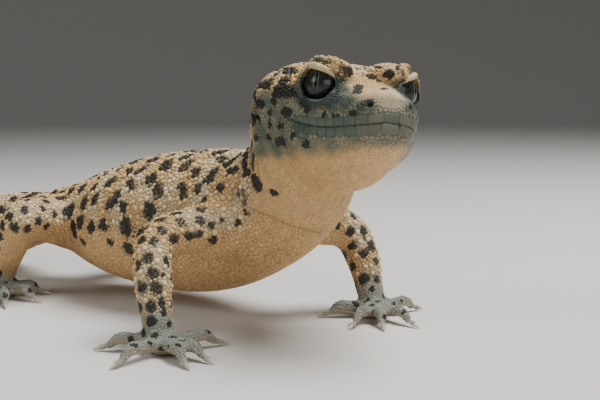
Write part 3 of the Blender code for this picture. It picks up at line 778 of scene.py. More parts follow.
# %% The colours together
def paint(places, facing, kinds):
    """Colour of each place; facing is 0 below to 1 above, kinds is a table of body shares."""
    here = to_head(places)
    colour = blend(CREAM, PALE, ramp(mottle(places, 5.0, 3), -0.7, 0.9))
    colour = blend(colour, BELLY, ramp(facing, 0.62, 0.25))
    foot = ramp(kinds["foot"], 0.0, 1.0)
    colour = blend(colour, FOOT, foot * 0.85)
    colour = blend(colour, PALE, foot * 0.4 * ramp(facing, 0.8, 0.3))
    toes = np.nonzero(foot > 0.3)[0]
    colour[toes] = blend(colour[toes], TOE_END, 0.7 * ramp(toe_gap(places[toes]), 2.0, 0.5))
    head = kinds["head"]
    x, z = here[:, 0], here[:, 2]
    flank = ramp(facing, 0.98, 0.68) * ramp(z, 1.8, -0.8)  # the face's sides, not its top
    muzzle_side = ramp(np.abs(here[:, 1]), 3.3, 4.7) * ramp(x, 2, 4.5) * ramp(z, 1.2, -0.3)
    flank = np.maximum(flank, muzzle_side)
    low_edge = -12.3 + 0.18 * np.clip(x + 5, 0, 20)
    flank *= ramp(z - low_edge + 0.5 * mottle(places, 3.0, 6), -1.6, 1.4)
    flank *= ramp(x + 1.4 * mottle(places, 4.0, 7), -21.5, -14)
    patches = ramp(mottle(places, 2.6, 8), -0.6, 0.7)
    # the sides of the face turn grey-green: partly the skin's own grey cast, partly painted shade
    colour = blend(colour, GREY, head * flank * (0.78 + 0.19 * patches))
    colour = blend(colour, BELLY, head * ramp(z - low_edge, 0.4, -1.6) * 0.9)
    snout = ramp(x, 7.5, 13.5) * ramp(z - low_edge, -0.4, 1)
    colour = blend(colour, SNOUT, head * snout * (0.75 - 0.35 * flank))
    away = eye_distance(here)
    # painted shade round the lower half of each eye
    colour = blend(colour, GREY * 0.5, head * ramp(away, 5.6, 4.3) * 0.75 * ramp(z, 2.4, 1.0))
    # painted shadows on the sides of the snout, between the eye and the nostril
    colour = blend(colour, SHADE, stroke_share(places, face_shadows, 1.9, 0.5, 0.1 * mottle(places, 1.5, 12)))
    lid = kinds["lid"]
    colour = blend(colour, LID_TINT, lid * ramp(z, 0.7, 1.5))
    dark = stroke_share(places, [(*spot, 0.97) for spot in spots], 1.3, 0.95, 0.1 * mottle(places, 1.3, 5))
    dark *= 1 - 0.9 * ramp(away, 4.9, 4.4) * head
    colour = blend(colour, SPOT, dark)
    # painted shade in the creases, the mouth line, the nostrils and the ear's opening
    colour = blend(colour, SHADE, np.maximum(crease_shade(places), head * in_ear(places)))
    colour = blend(colour, LOWER_LID, lid * ramp(z, 1.5, 0.7))
    return colour * (1 + 0.07 * mottle(places, 0.9, 21))[:, None], dark


# %% Paint the skin
kinds = {"foot": spread(on_foot, edges, 30), "head": spread(on_head, edges, 6), "lid": on_lid.astype(float)}
skin_colour, skin_dark = paint(points, top, kinds)


def set_colours(obj, colours):
    layer = obj.data.color_attributes.new("paint", "FLOAT_COLOR", "POINT")
    rows = np.ones((len(colours), 4), np.float32)
    rows[:, :3] = colours
    layer.data.foreach_set("color", rows.ravel())


print("markings painted", clock())

# %% [markdown]
# ## An unwrap of the skin
# The finished coat is painted into a picture of its own, so each scale needs a small patch of its own
# in it, at the place of its root. A thinned copy of the skin is unwrapped, which is quick, and later
# each root looks up the nearest face of that copy and its place on the unwrap.

# %% Unwrap a thinned copy
chart = add_object("chart", skin.data.copy())
finish_with(chart, "DECIMATE", ratio=0.05)
edit_whole(chart, bpy.ops.uv.smart_project, angle_limit=math.radians(66), island_margin=0.002)
chart_points = read_points(chart)
chart_faces = [tuple(f.vertices) for f in chart.data.polygons]
chart_uv = read_table(chart.data.uv_layers.active.data, "uv", 2)
chart_loops = [tuple(f.loop_indices) for f in chart.data.polygons]
chart_tree = BVHTree.FromPolygons([Vector(p) for p in chart_points], chart_faces)
bpy.data.objects.remove(chart)


def root_places(roots):
    spots_on_chart = np.empty((len(roots), 2))
    for k, root in enumerate(roots.tolist()):
        place, _, face, _ = chart_tree.find_nearest(root)
        corners = chart_points[list(chart_faces[face])][:3]
        a, b, c = corners[0], corners[1] - corners[0], corners[2] - corners[0]
        p = np.array(place) - a
        bb, bc, cc, pb, pc = b @ b, b @ c, c @ c, p @ b, p @ c
        low = max(bb * cc - bc * bc, 1e-12)
        v, w = (cc * pb - bc * pc) / low, (bb * pc - bc * pb) / low
        uv = chart_uv[list(chart_loops[face])][:3]
        spots_on_chart[k] = uv[0] * (1 - v - w) + uv[1] * v + uv[2] * w
    return np.clip(spots_on_chart, 0.002, 0.998)


print("unwrapped", len(chart_faces), "faces", clock())

# %% [markdown]
# ## The lip shields
# Along the mouth the small scales give way to one row of large four-sided shields above it and one
# below, widest in front. Each is made in place: a rounded rectangle is laid on the skin in rings,
# bent as far as the skin falls away under its edge, and the rings are raised in turn to a pillow. A
# plain array along a curve would not follow the bend of the snout so closely.

# %% Where the shields go
LIP_WIDTHS = [1.15, 1.25, 1.35, 1.5, 1.6, 1.75, 1.85, 1.95, 2.0, 2.05]
shields = []  # root, normal, along, up, half width, half height, above or below the mouth


def lip_tone(places):
    """Grey-green at the sides of the mouth, partly the lips' own colour and partly painted shade, and paler
    in front.
    """
    front = ramp(to_head(places)[:, 0], 9, 14.5)
    return blend(np.array([0.030, 0.062, 0.051]), np.array([0.076, 0.080, 0.060]), front)


mouth = thread([(x, y, z) for x, y, z in MOUTH] + [(14.9, -2.0, -6.0)], 0.05)
mouth = mouth[mouth[:, 1] >= 0]
mouth_length = lengths_along(mouth)[-1]
LIP_START = 3.0
LIP_ROWS = [  # above or below, height at the side, half the front shield's room, its width and height
    (1, 1.5, 1.35, 2.7, 1.6),
    (-1, 1.6, 1.5, 3.0, 1.7),
]


def shield_at(along, width, above, high, side):
    row, ahead, back = (point_along(mouth, along + step) for step in (0, 0.4, -0.4))
    row[2] += above * (high / 2 + 0.03)
    flip = np.array([1, side, 1])
    root, normal = (np.array(v) for v in surface.find_nearest(from_head(row * flip).tolist())[:2])
    way = head_axes @ ((ahead - back) * flip)
    way -= normal * (way @ normal)
    way /= np.linalg.norm(way)
    shields.append((root, normal, way, np.cross(normal, way), width / 2 - 0.01, high / 2 - 0.02, above))


for above, high, room, front_width, front_high in LIP_ROWS:
    widths = LIP_WIDTHS if above > 0 else LIP_WIDTHS[:-1] + [LIP_WIDTHS[-1] * 0.9]
    scale = (mouth_length - LIP_START - room) / sum(widths)
    for side in (1, -1):
        along = LIP_START
        for width in widths:
            share = min(1, 1.6 * along / mouth_length)
            shield_at(along + width * scale / 2, width * scale, above, high * (0.72 + 0.28 * share), side)
            along += width * scale
    shield_at(mouth_length, front_width, above, front_high, 1)
print("lip shields:", len(shields))

# %% [markdown]
# ## Spacing of the scales
# The crown and the temples carry beads almost a millimetre wide. The face has finer ones, the chin
# has flat polygons that shrink towards the throat, and throat, feet and lids have the finest. The
# back, the tail and the legs have large beads set in a field of granules.

# %% Spacing, in millimetres
x, _, z = local.T
space = np.full(len(points), 0.74)
space[on_leg] = 0.62
space[on_foot] = 0.5
space[(on_trunk | on_tail) & (top < 0.3)] = 0.86
face = 0.56 - 0.08 * ramp(x, 3, 9) * ramp(z, -4, -2)
crown = 0.98 * ramp(z, -3.0, 0.0) * ramp(x, 2.5, -1.0)
cheek = ramp(x, 1.5, -3) * ramp(z, -8, -4.5)
chin = ramp(z, -10.8, -8.2) * ramp(z, -6.6, -7.6) * ramp(x, -5, -1)
throat = ramp(z, -9.5, -12)
head_space = np.max([face, crown, 0.58 * cheek, 0.86 * chin], 0) * (1 - throat) + 0.44 * throat
space = np.where(on_head, head_space, space)
space[on_neck & (top < 0.5)] = 0.46
space = spread(space, edges, 10)
for line in beside_eyes(BROW, 4.9):
    space = np.maximum(space, 0.84 * ramp(stroke_distance(thread(line), points, 2.0)[0], 1.3, 0.8))
away = eye_distance(local)
space[on_lid] = 0.34

# where no scale may stand
bare = on_head & (away < 3.92)
for s in (1, -1):
    facing_out = ((normals @ head_axes) * (local - EYE_PLACE * (1, s, 1))).sum(1) / away
    bare |= on_head & (away < 4.3) & (facing_out < 0.25)
    pit = np.linalg.norm(local - NOSTRIL * (1, s, 1), axis=1)
    bare |= on_head & (pit < 0.72)
bare |= on_head & (in_ear(points) > 0.5)
for line in both_sides(MOUTH):
    bare |= stroke_distance(on_skin(thread(line)), points, 2.0)[0] < 0.12
for root, normal, way, up, wide, high, _ in shields:
    gap = points - root
    under = (np.abs(gap @ way) < wide + 0.08) & (np.abs(gap @ up) < high + 0.08)
    under &= np.abs(gap @ normal) < 1.2
    # the skin under the shields takes the lips' tone, with painted shade along the mouth
    skin_colour[under] = blend(1.1 * lip_tone(points[under]), SHADE, crease_shade(points[under]))
    bare |= under
bare |= points[:, 2] < 0.22
set_colours(skin, skin_colour)
print("spacing from", space.min().round(2), "to", space.max().round(2), "mm;", int(bare.sum()), "points bare")

# %% [markdown]
# ## Even but irregular
# Scales grow until they touch, so each fills the room between its neighbours. Many sample points are
# thrown on the skin, more where the scales are small. Some become seeds, and a few times over each
# seed moves to the middle of the samples nearest to it. A Poisson scatter alone would leave gaps.

# %% Throw samples and settle the seeds
SEED_AREA = 0.866  # the room of one seed in an even pattern, in spacings squared
BEAD_SAMPLES, GRANULE_SAMPLES = 12, 14  # samples thrown for each seed
BEAD_REACH = 0.62


def throw(weight, count, rng):
    """Random places on the skin, in proportion to the weight of each triangle."""
    pick = np.searchsorted(np.cumsum(weight), rng.uniform(0, weight.sum(), count))
    a, b = rng.uniform(size=(2, count))
    fold = a + b > 1
    a[fold], b[fold] = 1 - a[fold], 1 - b[fold]
    corner = triangles[np.clip(pick, 0, len(triangles) - 1)]
    share = np.stack([1 - a - b, a, b], 1)
    return corner, share


def at(values, corner, share):
    values = np.asarray(values, float)
    taken = values[corner]
    return (taken * (share if values.ndim == 1 else share[..., None])).sum(1)


def tree_of(places):
    tree = KDTree(len(places))
    for index, place in enumerate(places.tolist()):
        tree.insert(place, index)
    tree.balance()
    return tree


def even_start(places, every):
    """Every so many samples, in the order of small cubes of space, so that no area is left out."""
    cube = (places // 1.3).astype(int)
    return np.lexsort((cube[:, 2], cube[:, 1], cube[:, 0]))[::every]


def settle(seeds, places, passes):
    """seeds are indices into places; each pass moves every seed to the middle of its own samples."""
    every = tree_of(places)
    rows = places.tolist()
    for _ in range(passes):
        near = tree_of(places[seeds])
        owner = np.fromiter((near.find(p)[1] for p in rows), np.int64, len(rows))
        count = np.bincount(owner, minlength=len(seeds)).astype(float)
        full = count > 0
        centre = np.stack([np.bincount(owner, places[:, k], len(seeds)) for k in range(3)], 1)
        centre = centre[full] / count[full, None]
        seeds = np.unique([every.find(c)[1] for c in centre.tolist()])
    return seeds


# %% The large beads settle first
corner_points = points[triangles]
area = np.linalg.norm(np.cross(corner_points[:, 1] - corner_points[:, 0],
                               corner_points[:, 2] - corner_points[:, 0]), axis=1) / 2
open_share = 1 - bare[triangles].mean(1)
rng = np.random.default_rng(4)

# large beads first: on the back, the tail, the legs and the nape
on_ring = (ring_gap(points) > 0.75) | (points[:, 0] > -18)
bead_space = np.zeros(len(points))
bead_space[on_trunk & (top > 0.42) & (points[:, 0] < 58)] = 1.95
bead_space[on_tail & (top > 0.34) & on_ring] = 1.8
bead_space[on_leg & (top > 0.3) & (skin_dark < 0.3)] = 1.45
bead_space[on_neck & (top > 0.5)] = 1.6
bead_share = (bead_space[triangles].min(1) > 0) * (open_share > 0.99)
weight = area * bead_share / np.maximum(bead_space[triangles].mean(1), 0.5) ** 2
bead_count = int(weight.sum() / SEED_AREA)
corner, share = throw(weight, bead_count * BEAD_SAMPLES, rng)
places = at(points, corner, share)
chosen = settle(even_start(places, BEAD_SAMPLES), places, 5)
bead_corner, bead_part = corner[chosen], share[chosen]
beads = places[chosen]
print("large beads:", len(beads), clock())

# %% Then the granules round them
weight = area * (open_share > 0.4) / space[triangles].mean(1) ** 2
small_count = int(weight.sum() / SEED_AREA)
corner, share = throw(weight, small_count * GRANULE_SAMPLES, rng)
places = at(points, corner, share)
ok = at(bare.astype(float), corner, share) < 0.5
bead_tree = tree_of(beads)
here = at(space, corner, share)
gap = np.fromiter((bead_tree.find(p)[2] for p in places.tolist()), float, len(places))
ok &= gap > 0.44 + 0.3 * here
corner, share, places = corner[ok], share[ok], places[ok]
chosen = settle(even_start(places, GRANULE_SAMPLES), places, 6)
corner, share = np.concatenate([corner[chosen], bead_corner]), np.concatenate([share[chosen], bead_part])
is_bead = np.arange(len(corner)) >= len(chosen)
roots = at(points, corner, share)
root_normals = unit(at(normals, corner, share))
root_space = at(space, corner, share)
reach = np.where(is_bead, BEAD_REACH, root_space / 2)
print("scales:", len(roots), "of which", int(is_bead.sum()), "large", clock())

# %% [markdown]
# ## The shape of each scale
# A scale's edge lies halfway to each of its neighbours, or nearer to the smaller one. So in each
# direction the edge is where the first of those halfway lines is met. Joining the directions gives
# rounded polygons that fit together with a fine groove between, as they do on the animal.

# %% Edges from the neighbours
NEIGHBOURS = 12
WIDEST = 1.32  # no edge lies farther out than this many times a scale's reach
tree = tree_of(roots)
near = np.array([[hit[1] for hit in tree.find_n(p, NEIGHBOURS + 1)] for p in roots.tolist()])
helper = np.where(np.abs(root_normals[:, :1]) < 0.7, [[1.0, 0, 0]], [[0, 1.0, 0]])
east = unit(np.cross(root_normals, helper))
north = np.cross(root_normals, east)


def edge_distance(count):
    gaps = roots[near] - roots[:, None]
    across, along = (gaps * east[:, None]).sum(2), (gaps * north[:, None]).sum(2)
    far = np.hypot(across, along)
    half = far * reach[:, None] / (reach[:, None] + reach[near])
    bearing = np.arctan2(along, across)
    same_side = (root_normals[near] * root_normals[:, None]).sum(2) > 0.1
    result = np.empty((len(roots), count), np.float32)
    for k in range(count):
        facing = np.cos(2 * math.pi * k / count - bearing)
        limit = np.where((facing > 0.12) & same_side & (far > 1e-6), half / np.maximum(facing, 0.12), 9.0)
        result[:, k] = limit.min(1)
    return np.minimum(result, WIDEST * reach[:, None])


print("neighbours found", clock())

# %% [markdown]
# ## Joining the scales to coat pieces
# Tens of thousands of separate objects would be slow, so each part of the body gets one mesh with all
# its scales. A scale is a few rings of points, closed above and below. The tables are filled at once,
# scale after scale, and each scale is given its small patch on the unwrap.

# %% Join scales to a coat piece
PATCH = 0.003


def join_scales(name, cloud, root, count, patch, rise, colours):
    """Makes one piece of many scales. cloud holds the points of each scale, as rings of count points
    from the sunken edge up, and then the tip. root has a row for each scale, and patch, rise and
    colours have one for each point, scale after scale.
    """
    total, per = cloud.shape[:2]
    last = per - 1 - count
    tip = [[last + k, last + (k + 1) % count, per - 1] for k in range(count)]
    faces = ring_faces((per - 1) // count, count) + tip + [list(range(count - 1, -1, -1))]
    sizes = np.array([len(f) for f in faces])
    flat = np.concatenate(faces)
    loops = (flat[None] + per * np.arange(total)[:, None]).ravel()
    mesh = bpy.data.meshes.new(name)
    mesh.vertices.add(total * per)
    mesh.vertices.foreach_set("co", (cloud * MM).ravel())
    mesh.loops.add(len(loops))
    mesh.loops.foreach_set("vertex_index", loops)
    mesh.polygons.add(total * len(faces))
    starts = np.cumsum(sizes) - sizes + len(flat) * np.arange(total)[:, None]
    mesh.polygons.foreach_set("loop_start", starts.ravel())
    mesh.update(calc_edges=True)
    piece = add_object(name, mesh)
    places = np.repeat(root_places(root), per, axis=0)
    add_map(piece, "OFBake", places + np.asarray(patch) * PATCH / 2)
    set_colours(piece, colours)
    layer = mesh.attributes.new("rise", "FLOAT", "POINT")
    layer.data.foreach_set("value", np.asarray(rise, np.float32))
    shade_smooth(piece)
    mesh.materials.append(scale_finish)
    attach(piece, "root")
    tally = int((sizes - 2).sum()) * total
    print(f"{name}: {total} scales, {tally} triangles")
    return tally


# %% Lay scales of one kind
def round_points(count):
    turns = 2 * np.pi * np.arange(count) / count
    return np.stack([np.cos(turns), np.sin(turns)], 1)


def build_scales(name, chosen, count, rings, height, colours):
    """rings: (share of the width, share of the height) from the sunken edge up; the last is the tip."""
    edge = edge_table[count][chosen] * (0.99 if rings is PLATE else 0.96)
    root, normal = roots[chosen], root_normals[chosen]
    circle = round_points(count)
    spokes = circle[:, :1] * east[chosen, None] + circle[:, 1:] * north[chosen, None]
    spokes *= edge[..., None]
    layers, patch, rise = [], [], []
    for width, lift in rings[:-1]:
        layers.append(root[:, None] + spokes * width + normal[:, None] * (height * lift)[:, None, None])
        patch.append(circle * width)
        rise += [max(0, lift) if rings is not PLATE else 0.55 + 0.4 * max(0, lift)] * count
    layers.append((root + normal * (height * rings[-1][1])[:, None])[:, None])
    patch = np.concatenate(patch + [np.zeros((1, 2))])
    rise.append(1.0)
    cloud = np.concatenate(layers, 1)
    cloud[..., 2] = np.maximum(cloud[..., 2], 0.01)
    total, per = cloud.shape[:2]
    patch, colours = np.tile(patch, (total, 1)), np.repeat(colours, per, axis=0)
    return join_scales(name, cloud, root, count, patch, np.tile(rise, total), colours)


edge_table = {count: edge_distance(count) for count in (6, 7, 8)}
print("scales have", *edge_table, "corners")

# %% [markdown]
# ## Finishes
# Keratin has a dull, slightly waxy gloss. The colour comes from the painted attribute. Each scale is
# painted darker low down, as painted shade in the groove, and paler towards its tip. Fine noise on object
# coordinates, a few tenths of a millimetre wide, breaks the colour and the surface.

# %% Node helpers
def new_finish(name, rough, **fixed):
    material = bpy.data.materials.new(name)
    material.use_nodes = True
    tree = material.node_tree
    shader = tree.nodes["Principled BSDF"]
    shader.inputs["Roughness"].default_value = rough
    for key, value in fixed.items():
        shader.inputs[key.replace("_", " ")].default_value = value
    return material, tree, shader


def add_node(tree, kind, **settings):
    node = tree.nodes.new("ShaderNode" + kind)
    for key, value in settings.items():
        if hasattr(node, key):
            setattr(node, key, value)
        else:
            node.inputs[key].default_value = value
    return node


def math_node(tree, operation, a, b=None, c=None, clamp=False):
    node = tree.nodes.new("ShaderNodeMath")
    node.operation = operation
    node.use_clamp = clamp
    for socket, value in zip(node.inputs, (a, b, c)):
        if value is None:
            continue
        if isinstance(value, (int, float)):
            socket.default_value = value
        else:
            tree.links.new(value, socket)
    return node.outputs[0]


# %% Patterns made of nodes
def noise(tree, scale, detail=2.0, rough=0.5):
    place = add_node(tree, "TexCoord").outputs["Object"]
    node = add_node(tree, "TexNoise", Scale=scale, Detail=detail, Roughness=rough)
    tree.links.new(place, node.inputs["Vector"])
    return node.outputs[0]


def two_tone(tree, value, low, low_colour, high, high_colour):
    """One colour up to low, another from high on, and a soft change between them."""
    node = add_node(tree, "ValToRGB")
    for stop, place, colour in zip(node.color_ramp.elements, (low, high), (low_colour, high_colour)):
        stop.position = place
        stop.color = (*colour, 1)
    tree.links.new(value, node.inputs[0])
    return node.outputs[0]


def scaled_colour(tree, colour, factor):
    node = add_node(tree, "VectorMath", operation="SCALE")
    tree.links.new(colour, node.inputs[0])
    tree.links.new(factor, node.inputs["Scale"])
    return node.outputs[0]


def bump(tree, shader, height, strength, distance):
    node = add_node(tree, "Bump", Strength=strength, Distance=distance)
    tree.links.new(height, node.inputs["Height"])
    tree.links.new(node.outputs[0], shader.inputs["Normal"])


# %% The keratin of the scales
scale_finish, tree, shader = new_finish("scale_keratin", 0.46, Subsurface_Weight=0.1, Subsurface_Scale=0.0005,
                                        Specular_IOR_Level=0.28)
shader.inputs["Subsurface Radius"].default_value = (1.0, 0.45, 0.25)
painted = add_node(tree, "Attribute", attribute_name="paint").outputs["Color"]
risen = add_node(tree, "Attribute", attribute_name="rise").outputs["Fac"]
grain = noise(tree, 2600, 3.0)
# painted shade: the colour runs from 0.6 of the paint at a scale's sunken edge to 1.1 at its tip
factor = math_node(tree, "MULTIPLY_ADD", risen, 0.5, 0.6)
factor = math_node(tree, "MULTIPLY", factor, math_node(tree, "MULTIPLY_ADD", grain, 0.3, 0.86))
tree.links.new(scaled_colour(tree, painted, factor), shader.inputs["Base Color"])
tree.links.new(math_node(tree, "MULTIPLY_ADD", grain, 0.25, 0.34), shader.inputs["Roughness"])
bump(tree, shader, noise(tree, 5200, 2.0), 0.35, 0.00006)
print("finish:", scale_finish.name, "of", len(tree.nodes), "nodes")

# %% The bare skin between them
skin_finish, tree, shader = new_finish("skin_between_scales", 0.6, Subsurface_Weight=0.15,
                                       Subsurface_Scale=0.0008)
shader.inputs["Subsurface Radius"].default_value = (1.0, 0.45, 0.25)
painted = add_node(tree, "Attribute", attribute_name="paint").outputs["Color"]
grain = noise(tree, 1500, 4.0)
# painted shade: the bare skin in the grooves between the scales is darkened to about two thirds of its paint,
# with a fine grain
factor = math_node(tree, "MULTIPLY_ADD", grain, 0.5, 0.42)
tree.links.new(scaled_colour(tree, painted, factor), shader.inputs["Base Color"])
bump(tree, shader, noise(tree, 2400, 3.0, 0.6), 0.6, 0.00012)
skin.data.materials.clear()
skin.data.materials.append(skin_finish)
skin.data.polygons.foreach_set("material_index", np.zeros(len(skin.data.polygons), np.int32))
shade_smooth(skin)
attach(skin, "root")
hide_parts(*flesh)
print("finish:", skin_finish.name, "of", len(tree.nodes), "nodes")

# %% [markdown]
# ## The coat, part by part
# The head has round beads, lower ones on the face. The granules of the back, legs and tail are small
# domes, throat, neck and belly have nearly flat plates, and the large beads stand up as blunt cones.
# Each kind is a list of rings: how wide and how high the scale is at each step from its sunken edge
# to its tip.

# %% Kinds of scale
BEAD = [(0.98, -0.35), (0.93, 0.36), (0.64, 0.86), (0, 1.0)]
CONE = [(0.98, -0.3), (0.88, 0.3), (0.5, 0.82), (0, 1.0)]
DOME = [(0.98, -0.4), (0.78, 0.62), (0, 1.0)]
PLATE = [(1.0, -0.15), (0.82, 0.8), (0, 1.0)]

root_part = part[corner[:, 0]]
root_local = to_head(roots)
root_top = at(top, corner, share)
root_kinds = {key: at(value, corner, share) for key, value in kinds.items()}
root_colour, root_dark = paint(roots, root_top, root_kinds)
pale = np.clip(is_bead * (1 - root_dark), 0, 1)[:, None]
root_colour = root_colour * (1 + 0.08 * pale) + 0.02 * pale
root_colour *= (1 + np.random.default_rng(2).normal(0, 0.07, len(roots)))[:, None]
root_colour = np.clip(root_colour, 0.01, 0.95)

bodies = (HEAD_PARTS, LEG_PARTS, FOOT_PARTS, TAIL_PARTS, ["trunk"], ["neck"])
head_root, leg_root, foot_root, tail_root, trunk_root, neck_root = (is_part(root_part, *b) for b in bodies)
x, _, z = root_local.T
relief = np.where(head_root, 0.45 + 0.55 * ramp(z, -4, 0) * ramp(x, 3, -2), 0.5)
relief[root_top < 0.3] = 0.22
relief[head_root & (z < -9)] = 0.2
relief[head_root & (x > 4) & (z > -5)] = 0.34
relief[head_root & (root_space < 0.42)] = 0.2
bead_height = 0.36 + 0.08 * np.random.default_rng(3).uniform(-1, 1, len(roots))
root_height = np.where(is_bead, bead_height, reach * relief)
print("scales stand", root_height.min().round(2), "to", root_height.max().round(2), "mm high")

# %% Build the coat, part by part
groups = [
    ("scales_head_top", head_root & (z >= -4.6), 8, BEAD, "head_skin"),
    ("scales_head_below", head_root & (z < -4.6) & (z >= -9), 7, BEAD, "head_skin"),
    ("scales_throat", head_root & (z < -9), 7, PLATE, "head_skin"),
    ("scales_neck", neck_root & ~is_bead, 7, PLATE, "body_skin"),
    ("scales_trunk", trunk_root & ~is_bead & (root_top >= 0.42), 6, DOME, "body_skin"),
    ("scales_belly", trunk_root & ~is_bead & (root_top < 0.42), 6, PLATE, "body_skin"),
    ("scales_legs", leg_root & ~is_bead, 6, DOME, "body_skin"),
    ("scales_feet", foot_root & ~is_bead, 6, DOME, "foot_skin"),
    ("scales_tail", tail_root & ~is_bead, 6, DOME, "body_skin"),
    ("beads_body", (trunk_root | neck_root) & is_bead, 8, CONE, "body_skin"),
    ("beads_legs", (leg_root | foot_root) & is_bead, 8, CONE, "body_skin"),
    ("beads_tail", tail_root & is_bead, 8, CONE, "body_skin"),
]
coat_triangles = 0
for name, mask, count, rings, slot in groups:
    chosen = np.nonzero(mask)[0]
    coat_triangles += build_scales(name, chosen, count, rings, root_height[chosen], root_colour[chosen])
print("coat:", coat_triangles, "triangles", clock())

# %% The lip shields as pillows on the skin
CORNERS = 20
circle = round_points(CORNERS)
square = np.sign(circle) * np.abs(circle) ** 0.36
SHIELD_RINGS = [(1.0, -0.6), (1.0, 0.3), (0.93, 0.78), (0.72, 1.0), (0.36, 1.08), (0.0, 1.1)]
SHIELD_HEIGHT = 0.08
shield_points, shield_patch, shield_rise, by_mouth = [], [], [], []
for root, normal, way, up, wide, high, above in shields:
    mouth_way = -above * np.sign(up @ head_axes[:, 2])
    bend = []  # how far the skin falls away under each corner point
    for a, b in square:
        flat = root + way * a * wide + up * b * high
        hit = surface.ray_cast((flat + normal).tolist(), (-normal).tolist(), 2.0)[0]
        bend.append(0 if hit is None else float(np.clip((np.array(hit) - flat) @ normal, -0.16, 0.2)))
    bend = (np.roll(bend, 1) + bend + np.roll(bend, -1)) / 3
    for width, lift in SHIELD_RINGS:
        for k in range(CORNERS if width > 0 else 1):
            a, b = square[k] * width
            flat = root + way * a * wide + up * b * high
            shield_points.append(flat + normal * (bend[k] * width**2 + SHIELD_HEIGHT * lift))
            by_mouth.append(b * mouth_way)
            shield_patch.append((a, b))
            shield_rise.append(0.5 + 0.4 * max(0, lift))
count = len(shields)
per = len(shield_points) // count
shield_points = np.array(shield_points)
shield_roots = np.array([shield[0] for shield in shields])
body_shares = {"foot": np.zeros(count), "lid": np.zeros(count), "head": np.ones(count)}
ground, _ = paint(shield_roots, np.full(count, 0.5), body_shares)
shield_colour = 0.25 * np.repeat(ground, per, axis=0) + 0.75 * lip_tone(shield_points)
# painted shade along each shield's edge at the mouth
shield_colour = blend(shield_colour, SHADE, 0.9 * ramp(np.array(by_mouth), 0.88, 1.0))
tone = np.repeat(np.random.default_rng(9).normal(0, 0.06, count), per)
shield_colour *= 1 + tone[:, None]
coat_triangles += join_scales("lip_shields", shield_points.reshape(count, per, 3), shield_roots, CORNERS,
                              shield_patch, shield_rise, shield_colour)
print("coat with lip shields:", coat_triangles, "triangles")

# %% [markdown]
# ## The lid fringe
# A row of small pointed scales stands along the edge of each lid and keeps sand out of the eye. Each is
# a low cone, and the longest stand towards the back of the eye.

# %% Pointed scales along the lids
SPIKE_SIDES = 6
circle = round_points(SPIKE_SIDES)
fringe_points, fringe_patch, fringe_rise, fringe_roots = [], [], [], []
for side in (1, -1):
    centre = EYE_PLACE * (1, side, 1)
    for edge, far, count, longest, radius in ((UPPER_EDGE, UPPER_FAR, 22, 0.46, 4.1),
                                              (LOWER_EDGE, LOWER_FAR, 20, 0.26, 3.82)):
        near_ways, far_ways = lid_ways(side, edge, far, count + 2)
        near_ways, far_ways = near_ways[1:-5], far_ways[1:-5]
        for k, way in enumerate(unit(near_ways * 0.9 + far_ways * 0.1)):
            root = centre + way * radius
            out = way * 0.9 + (near_ways[k] - far_ways[k]) * 0.35
            out /= np.linalg.norm(out)
            share = k / (count - 1)
            length = longest * (0.45 + 0.55 * ramp(np.array(share), 0.75, 0.15))
            a = np.cross(out, (0.3, 0.1, 0.9))
            a /= np.linalg.norm(a)
            b = np.cross(out, a)
            for width, lift in ((0.17, -0.12), (0.15, 0.12 * length), (0.09, 0.6 * length)):
                for u, v in circle * width:
                    fringe_points.append(root + out * lift + a * u + b * v)
                    fringe_patch.append((4 * u, 4 * v))
                    fringe_rise.append(max(0, lift / length))
            fringe_points.append(root + out * length)
            fringe_patch.append((0, 0))
            fringe_rise.append(1.0)
            fringe_roots.append(from_head(root))
fringe_roots = np.array(fringe_roots)
cloud = from_head(fringe_points).reshape(len(fringe_roots), -1, 3)
fringe_colour = blend(LOWER_LID * 1.2, LID_TINT, ramp(to_head(fringe_roots)[:, 2], 0.2, 1.4))
fringe_colour = np.repeat(fringe_colour, cloud.shape[1], axis=0)
coat_triangles += join_scales("lid_fringe", cloud, fringe_roots, SPIKE_SIDES, fringe_patch, fringe_rise,
                              fringe_colour)
print("whole coat:", coat_triangles, "triangles", clock())

# %% [markdown]
# ## The eyes
# The eye is a ball whose clear front bulges a little. Its iris is dark silver with fine branching veins,
# and the pupil is an upright slit with a pale, scalloped edge. A sphere is added with its pole at the
# front, the front is pushed out, and a flat map seen from the front carries the iris and the slit.

# %% The wet eye
eye_finish, tree, shader = new_finish("eye_wet", 0.25, Coat_Weight=0.7, Coat_Roughness=0.06, Coat_IOR=1.33,
                                      Specular_IOR_Level=0.1)
flat_map = add_node(tree, "UVMap", uv_map="Eye").outputs[0]
split = add_node(tree, "SeparateXYZ")
tree.links.new(flat_map, split.inputs[0])
across = math_node(tree, "SUBTRACT", split.outputs[0], 0.5)
upward = math_node(tree, "SUBTRACT", split.outputs[1], 0.545)
wave = math_node(tree, "SINE", math_node(tree, "MULTIPLY", upward, 78.0))
wave = math_node(tree, "MULTIPLY", wave, 0.009)
height_share = math_node(tree, "ABSOLUTE", math_node(tree, "DIVIDE", upward, 0.26))
taper = math_node(tree, "SUBTRACT", 1.0, math_node(tree, "POWER", height_share, 2.6), clamp=True)
half_width = math_node(tree, "MULTIPLY", math_node(tree, "ADD", wave, 0.042), taper)
beyond = math_node(tree, "SUBTRACT", math_node(tree, "ABSOLUTE", across), half_width)
pupil = math_node(tree, "MULTIPLY_ADD", beyond, 220.0, clamp=True)
margin = math_node(tree, "MULTIPLY_ADD", beyond, -34.0, 0.92, clamp=True)
squares = (math_node(tree, "POWER", math_node(tree, "ABSOLUTE", way), 2.0) for way in (across, upward))
radius = math_node(tree, "SQRT", math_node(tree, "ADD", *squares))
stretch = add_node(tree, "Mapping", Scale=(64, 24, 1))
tree.links.new(flat_map, stretch.inputs["Vector"])
